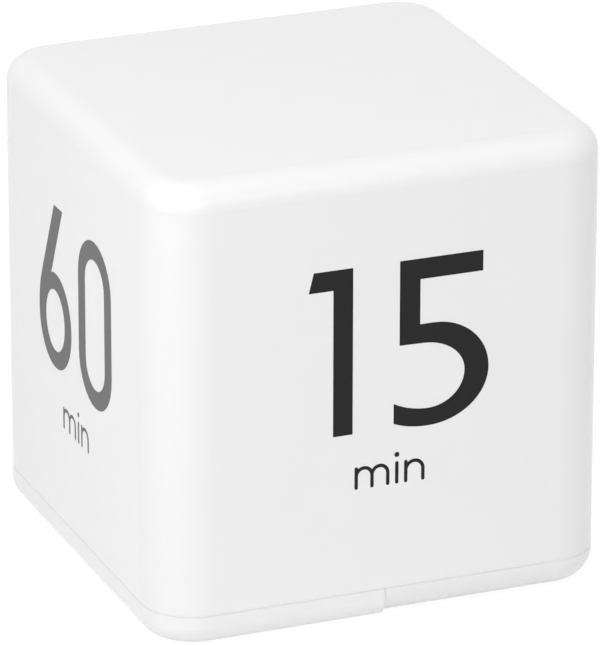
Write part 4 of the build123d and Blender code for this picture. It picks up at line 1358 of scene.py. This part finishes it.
@dataclass
class Marks:
    """Signs printed underneath: ON and OFF at the knob, an arrow on the door, + and - at the cells.

    Attributes:
        on_place: Middle of the word ON.
        off_place: Middle of the word OFF.
        arrow_tip: Where the arrow points to.
        arrow_length: Its length.
        arrow_head: Half the width of its head.
        arrow_shaft: Half the width of its shaft.
        arrow_neck: Length of its head, as a share of half the head's width.
        pole_size: Size of a + or -.
        pole_pen: Thickness of its strokes.
        pole_y: Distance of the signs from the middle.
        letters: How the words are drawn.
    """

    on_place: Point = (0.02053, -0.0027)
    off_place: Point = (0.02053, -0.0173)
    arrow_tip: float = -0.0172
    arrow_length: float = 0.0078
    arrow_head: float = 0.0022
    arrow_shaft: float = 0.0008
    arrow_neck: float = 1.1
    pole_size: float = 0.0015
    pole_pen: float = 0.00034
    pole_y: float = 0.0259
    letters: Capitals = Capitals()

    def arrow(self) -> list[Contour]:
        """Draws an arrow that points the way the door slides, as read from below.

        Returns:
            Its outline, about its middle.
        """
        half, head, shaft = self.arrow_length / 2, self.arrow_head, self.arrow_shaft
        neck = half - head * self.arrow_neck
        upper = [(-half, 0), (-neck, head), (-neck, shaft), (half, shaft)]
        return [upper + [(x, -y) for x, y in upper[:0:-1]]]

    def pole(self, positive: bool) -> list[Contour]:
        """Draws a + or a -.

        Args:
            positive: Whether it is a +.

        Returns:
            Its outline, about its middle.
        """
        far, near = self.pole_size / 2, self.pole_pen / 2
        if not positive:
            return [box_outline((-far, -near), (far, near))]
        return [[(-far, -near), (-near, -near), (-near, -far), (near, -far), (near, -near), (far, -near),
                 (far, near), (near, near), (near, far), (-near, far), (-near, near), (-far, near)]]

    def print_below(
        self, name: str, outlines: list[Contour], place: Place, body: str, kit: ShaderKit
    ) -> Piece:
        """Prints a sign about a place on a face that looks down, with outlines as read from below."""
        face = Matrix.Translation(place) @ Matrix.Rotation(math.pi, 4, "X")
        return lay_film(name, outlines, face, MARK_INK, body, kit)

    def build(self, kit: ShaderKit) -> None:
        """Prints every sign.

        Args:
            kit: Where the ink comes from.
        """
        foot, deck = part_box("base_plate")[0].z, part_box("housing")[0].z
        self.print_below("mark_on", self.letters.word("ON"), (*self.on_place, foot), "root", kit)
        self.print_below("mark_off", self.letters.word("OFF"), (*self.off_place, foot), "root", kit)
        arrow_place = (self.arrow_tip + self.arrow_length / 2, 0.0, foot)
        self.print_below("mark_arrow", self.arrow(), arrow_place, "battery_door", kit)
        for node, toward in CELL_WAYS.items():
            for end in (1, -1):
                sign = "plus" if end == toward else "minus"
                place = (middle_of(node).x, self.pole_y * end, deck)
                self.print_below(f"mark_{sign}_{node}", self.pole(end == toward), place, "root", kit)


@dataclass
class Shell:
    """The white outside: housing, base plate, battery door, knob and screws."""

    def dress(self, kit: ShaderKit) -> None:
        """Gives each solid its finish."""
        for node, finish in SHELL_FINISHES.items():
            kit.dress(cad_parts[node], finish)


@dataclass(frozen=True)
class Cell:
    """One cell: a printed sleeve over a steel can.

    Attributes:
        node: Its solid.
        toward: 1 when the positive end points to +Y, -1 when it points to -Y.
        band: Length of the pale band at its positive end.
        bare_radius: Radius within which the steel of its ends shows.
        sign_place: Where the + stands on the band, from the cell's end, as a share of its length.
        sign_size: Size of the +.
        sign_pen: Thickness of its strokes.
        sign_steps: Number of steps that bend each of its parts.
    """

    node: str
    toward: int
    band: float = 0.0105
    bare_radius: float = 0.00425
    sign_place: float = 0.55
    sign_size: float = 0.0032
    sign_pen: float = 0.0007
    sign_steps: int = 8

    def positive_end(self) -> float:
        """Where its positive end is, along Y."""
        low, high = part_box(self.node)
        return high.y if self.toward > 0 else low.y

    def dress(self, kit: ShaderKit) -> None:
        """Gives the can, its band and its bare ends their finishes.

        Args:
            kit: Where the materials come from.
        """
        middle = middle_of(self.node)
        kit.dress(
            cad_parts[self.node],
            CELL_SLEEVE,
            Zone(CELL_BAND, (0.0, self.positive_end(), 0.0), ALONG_Y, self.band),
            Zone(ZINC, (middle.x, 0.0, middle.z), ROUND_Y, self.bare_radius),
        )

    def sign(self, kit: ShaderKit) -> Piece:
        """Prints the + on the band, bent round the underside of the cell.

        Args:
            kit: Where the ink comes from.

        Returns:
            The film of ink.
        """
        low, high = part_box(self.node)
        middle, radius = (low + high) / 2, (high.x - low.x) / 2
        along = self.positive_end() - self.toward * self.band * self.sign_place
        far, near = self.sign_size / 2, self.sign_pen / 2
        forms = []
        for left, right, reach in ((-far, -near, near), (-near, near, far), (near, far, near)):
            forms.append([])
            for step in range(self.sign_steps + 1):
                angle = (left + (right - left) * step / self.sign_steps) / radius
                ring = []
                for out, side in ((radius + INK_PROUD, -reach), (radius - INK_PROUD, reach)):
                    x, z = middle.x + out * math.sin(angle), middle.z - out * math.cos(angle)
                    ring += [(x, along + side, z), (x, along - side, z)]
                forms[-1].append(ring)
        film = skin(f"sign_{self.node}", forms)
        kit.dress(film, DARK_INK)
        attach(film, "root")
        return film


@dataclass
class Works:
    """What the cube holds: cells and their contacts, board, sounder and switches.

    Attributes:
        bare_wire_end: Length of a wire's tinned end, which is half as long at the board.
        silver_radius: Radius of the silver on the sounder's ceramic.
        cap_rim: Radius of the capacitor's bare top.
        cap_top: Depth of its bare top.
        cap_stripe: Depth of the stripe on its sleeve.
        chip_end: Half the length of a resistor between its tinned ends.
        transistor_body: Half the width of the transistor between its legs.
    """

    bare_wire_end: float = 0.0011
    silver_radius: float = 0.006
    cap_rim: float = 0.002
    cap_top: float = 0.0003
    cap_stripe: float = 0.0007
    chip_end: float = 0.00052
    transistor_body: float = 0.00067

    def dress(self, kit: ShaderKit) -> None:
        """Gives each solid its finish, and the zones of those that have more than one.

        Args:
            kit: Where the materials come from.
        """
        for node, finish in WORKS_FINISHES.items():
            kit.dress(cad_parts[node], finish)
        for node, toward in CELL_WAYS.items():
            cell = Cell(node, toward)
            cell.dress(kit)
            cell.sign(kit)
        self.dress_wires(kit)
        self.dress_small_parts(kit)

    def dress_wires(self, kit: ShaderKit) -> None:
        """Gives each wire its sleeve and tinned ends.

        Args:
            kit: Where the materials come from.
        """
        for node, finish in WIRE_FINISHES.items():
            low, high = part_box(node)
            board_end = high.z if "sounder" in node else low.z
            kit.dress(
                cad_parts[node],
                finish,
                Zone(TIN, (0.0, high.y, 0.0), ALONG_Y, self.bare_wire_end),
                Zone(TIN, (0.0, 0.0, board_end), ALONG_Z, self.bare_wire_end / 2),
            )

    def dress_small_parts(self, kit: ShaderKit) -> None:
        """Gives the board's parts and the sounder's disc their zones.

        Args:
            kit: Where the materials come from.
        """
        disc, can = middle_of("sounder_ceramic"), middle_of("capacitor")
        low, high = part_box("capacitor")
        kit.dress(
            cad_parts["sounder_ceramic"],
            CERAMIC,
            Zone(SILVER, (disc.x, disc.y, 0.0), ROUND_Z, self.silver_radius),
        )
        kit.dress(
            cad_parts["capacitor"],
            CAN_SLEEVE,
            Zone(CAN_STRIPE, (low.x, 0.0, 0.0), ALONG_X, self.cap_stripe),
            Zone(ALUMINIUM, (0.0, 0.0, high.z), ALONG_Z, self.cap_top),
            Zone(CAN_SLEEVE, (can.x, can.y, high.z), ROUND_Z, self.cap_rim, False),
        )
        for node, reach in (("resistors", self.chip_end), ("transistor", self.transistor_body)):
            ends = Zone(TIN, (middle_of(node).x, 0.0, 0.0), ALONG_X, reach, False)
            kit.dress(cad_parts[node], RESIN, ends)


@dataclass
class BoardDetail:
    """What the board carries beside its parts: tracks, printed outlines, solder and the coil's wire.

    Attributes:
        track_width: Width of a track.
        track_proud: How far the tracks stand out.
        tracks: Middle line of each track.
        ink_pen: Thickness of the printed lines.
        ink_proud: How far the print stands out.
        margin: Space between a part and its printed outline.
        ringed: Parts with a round outline.
        framed: Parts with a straight outline.
        joint_radius: Radius of a solder joint above the board.
        joint_height: Height of a solder joint.
        joint_profile: Its radius and height from foot to tip, as shares of these.
        joint_slimness: Radius of a joint below the board, as a share of one above.
        joints_above: Where the joints above the board are.
        joints_below: Where the joints below the board are.
        coil_wire: Thickness of the coil's wire.
        coil_radii: Radius of the ferrite's waist and of its flanges.
        coil_depth: How far the coil lies within the flanges' rims, in wires.
        coil_shares: Places along a turn at which the wire's bulge is drawn.
        coil_sides: Number of sides of the coil.
        flange: Thickness of the flanges.
    """

    track_width: float = 0.0003
    track_proud: float = 0.00002
    tracks: tuple[Path, ...] = (
        ((0.008, -0.0075), (0.008, -0.0115)),
        ((0.012, -0.0075), (0.012, -0.0115)),
        ((0.0125, -0.003225), (0.0149, -0.003225)),
        ((0.0125, -0.005825), (0.0149, -0.005825)),
        ((0.0122, -0.007), (0.0136, -0.008425), (0.0149, -0.008425)),
        ((0.0124, -0.01736), (0.0135, -0.016225), (0.0149, -0.016225)),
        ((0.0161, -0.005825), (0.0216, -0.005825), (0.0221, -0.00625), (0.0236, -0.00625)),
        ((0.0161, -0.008425), (0.0195, -0.008425), (0.0203, -0.00765)),
        ((0.0161, -0.011025), (0.0193, -0.011025), (0.0202, -0.01015)),
        ((0.0161, -0.013625), (0.0193, -0.013625), (0.0202, -0.0127)),
        ((0.02242, 0.00336), (0.0214, 0.0023), (0.0214, -0.0036), (0.0226, -0.0048), (0.024, -0.0051)),
        ((0.00498, 0.00463), (0.00498, 0.0006), (0.0064, -0.001)),
        ((0.00767, 0.0022), (0.00767, -0.0008)),
        ((0.01409, 0.01171), (0.0122, 0.00982), (0.0122, 0.0002), (0.0112, -0.0009)),
        ((0.01486, 0.01094), (0.013, 0.00908), (0.013, -0.0002), (0.012, -0.0014)),
        ((0.01693, 0.01301), (0.0194, 0.0102), (0.0194, -0.0024), (0.0186, -0.003225),
         (0.0161, -0.003225)),
    )
    ink_pen: float = 0.00015
    ink_proud: float = 0.00003
    margin: float = 0.00025
    ringed: tuple[str, ...] = ("capacitor", "inductor", "timer_chip")
    framed: tuple[str, ...] = ("crystal", "transistor", "tilt_can_right", "tilt_can_left",
                               "tilt_can_front", "tilt_can_back")
    joint_radius: float = 0.0007
    joint_height: float = 0.0007
    joint_profile: Path = ((1.0, 0.0), (0.66, 0.35), (0.45, 0.7), (0.36, 1.0))
    joint_slimness: float = 0.8
    joints_above: Path = (
        (0.02053, -0.01245), (0.02053, -0.00995), (0.02053, -0.00745), (0.02242, 0.00336),
        (0.00767, 0.0022),
    )
    joints_below: Path = (
        (0.00498, 0.00463), (0.00498, 0.00787), (0.01616, 0.01094), (0.01486, 0.01094),
        (0.01409, 0.01171), (0.01409, 0.01301), (0.01486, 0.01378), (0.01616, 0.01378),
        (0.01693, 0.01301), (0.01693, 0.01171),
    )
    coil_wire: float = 0.0004
    coil_radii: Point = (0.0016, 0.0025)
    coil_depth: float = 0.8
    coil_shares: tuple[float, ...] = (0.08, 0.3, 0.5, 0.7, 0.92)
    coil_sides: int = 36
    flange: float = 0.0007

    def print_above(
        self, name: str, outlines: list[Contour], proud: float, finish: Finish, kit: ShaderKit
    ) -> Piece:
        """Lays a film on the upper side of the board."""
        face = Matrix.Translation((0.0, 0.0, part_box("circuit_board")[1].z))
        return lay_film(name, outlines, face, finish, "root", kit, proud)

    def build_tracks(self, kit: ShaderKit) -> None:
        """Lays the copper tracks, which the lacquer covers."""
        outlines = [track_outline(path, self.track_width) for path in self.tracks]
        self.print_above("board_tracks", outlines, self.track_proud, TRACE, kit)

    def build_outlines(self, kit: ShaderKit) -> None:
        """Prints the outlines of the parts.

        Args:
            kit: Where the ink comes from.
        """
        outlines, margin = [], self.margin
        for node in self.ringed:
            low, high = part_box(node)
            middle = ((low.x + high.x) / 2, (low.y + high.y) / 2)
            outlines += ring_outlines(middle, (high.x - low.x) / 2 + margin, self.ink_pen)
        for node in self.framed:
            low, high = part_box(node)
            corners = (low.x - margin, low.y - margin), (high.x + margin, high.y + margin)
            outlines += frame_outlines(*corners, self.ink_pen)
        self.print_above("board_print", outlines, self.ink_proud, BOARD_INK, kit)

    def build_joints(self, kit: ShaderKit) -> Piece:
        """Adds the solder joints at the leads that go through the board.

        Args:
            kit: Where the solder comes from.

        Returns:
            The joints, as one piece.
        """
        low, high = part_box("circuit_board")
        above = [(self.joint_radius, -FILM_SUNK)]
        above += [(self.joint_radius * wide, self.joint_height * up) for wide, up in self.joint_profile]
        below = [(radius * self.joint_slimness, -height) for radius, height in above]
        profiles = [((*place, high.z), above) for place in self.joints_above]
        profiles += [((*place, low.z), below) for place in self.joints_below]
        joints = lathe("solder_joints", profiles)
        kit.dress(joints, SOLDER)
        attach(joints, "root")
        return joints

    def build_coil(self, kit: ShaderKit) -> Piece:
        """Winds the copper wire on the ferrite's waist.

        Args:
            kit: Where the copper comes from.

        Returns:
            The winding.
        """
        low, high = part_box("inductor")
        middle = (low + high) / 2
        bottom, top = low.z + self.flange, high.z - self.flange
        turns = int((top - bottom) / self.coil_wire)
        pitch = (top - bottom) / turns
        core = self.coil_radii[0] - FILM_SUNK
        valley = self.coil_radii[1] - self.coil_wire * self.coil_depth - pitch / 2
        profile = [(core, 0.0)]
        for turn in range(turns):
            for share in self.coil_shares:
                bulge = math.sin(math.pi * share) * pitch / 2
                profile.append((valley + bulge, (turn + share) * pitch))
        profile.append((core, top - bottom))
        coil = lathe("coil_winding", [((middle.x, middle.y, bottom), profile)], self.coil_sides)
        kit.dress(coil, COPPER)
        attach(coil, "root")
        return coil

    def build(self, kit: ShaderKit) -> None:
        """Adds everything the board carries beside its parts.

        Args:
            kit: Where the materials come from.
        """
        self.build_tracks(kit)
        self.build_outlines(kit)
        self.build_joints(kit)
        self.build_coil(kit)


def main() -> None:
    """Builds everything in order."""
    logging.basicConfig(level=logging.INFO, format="%(name)s %(message)s")
    PhotoView().build()
    Studio().build()
    kit = ShaderKit()
    Shell().dress(kit)
    Works().dress(kit)
    BoardDetail().build(kit)
    Marks().build(kit)
    for print_on_side in PRINTS:
        print_on_side.build(kit)


if __name__ == "__main__":
    main()
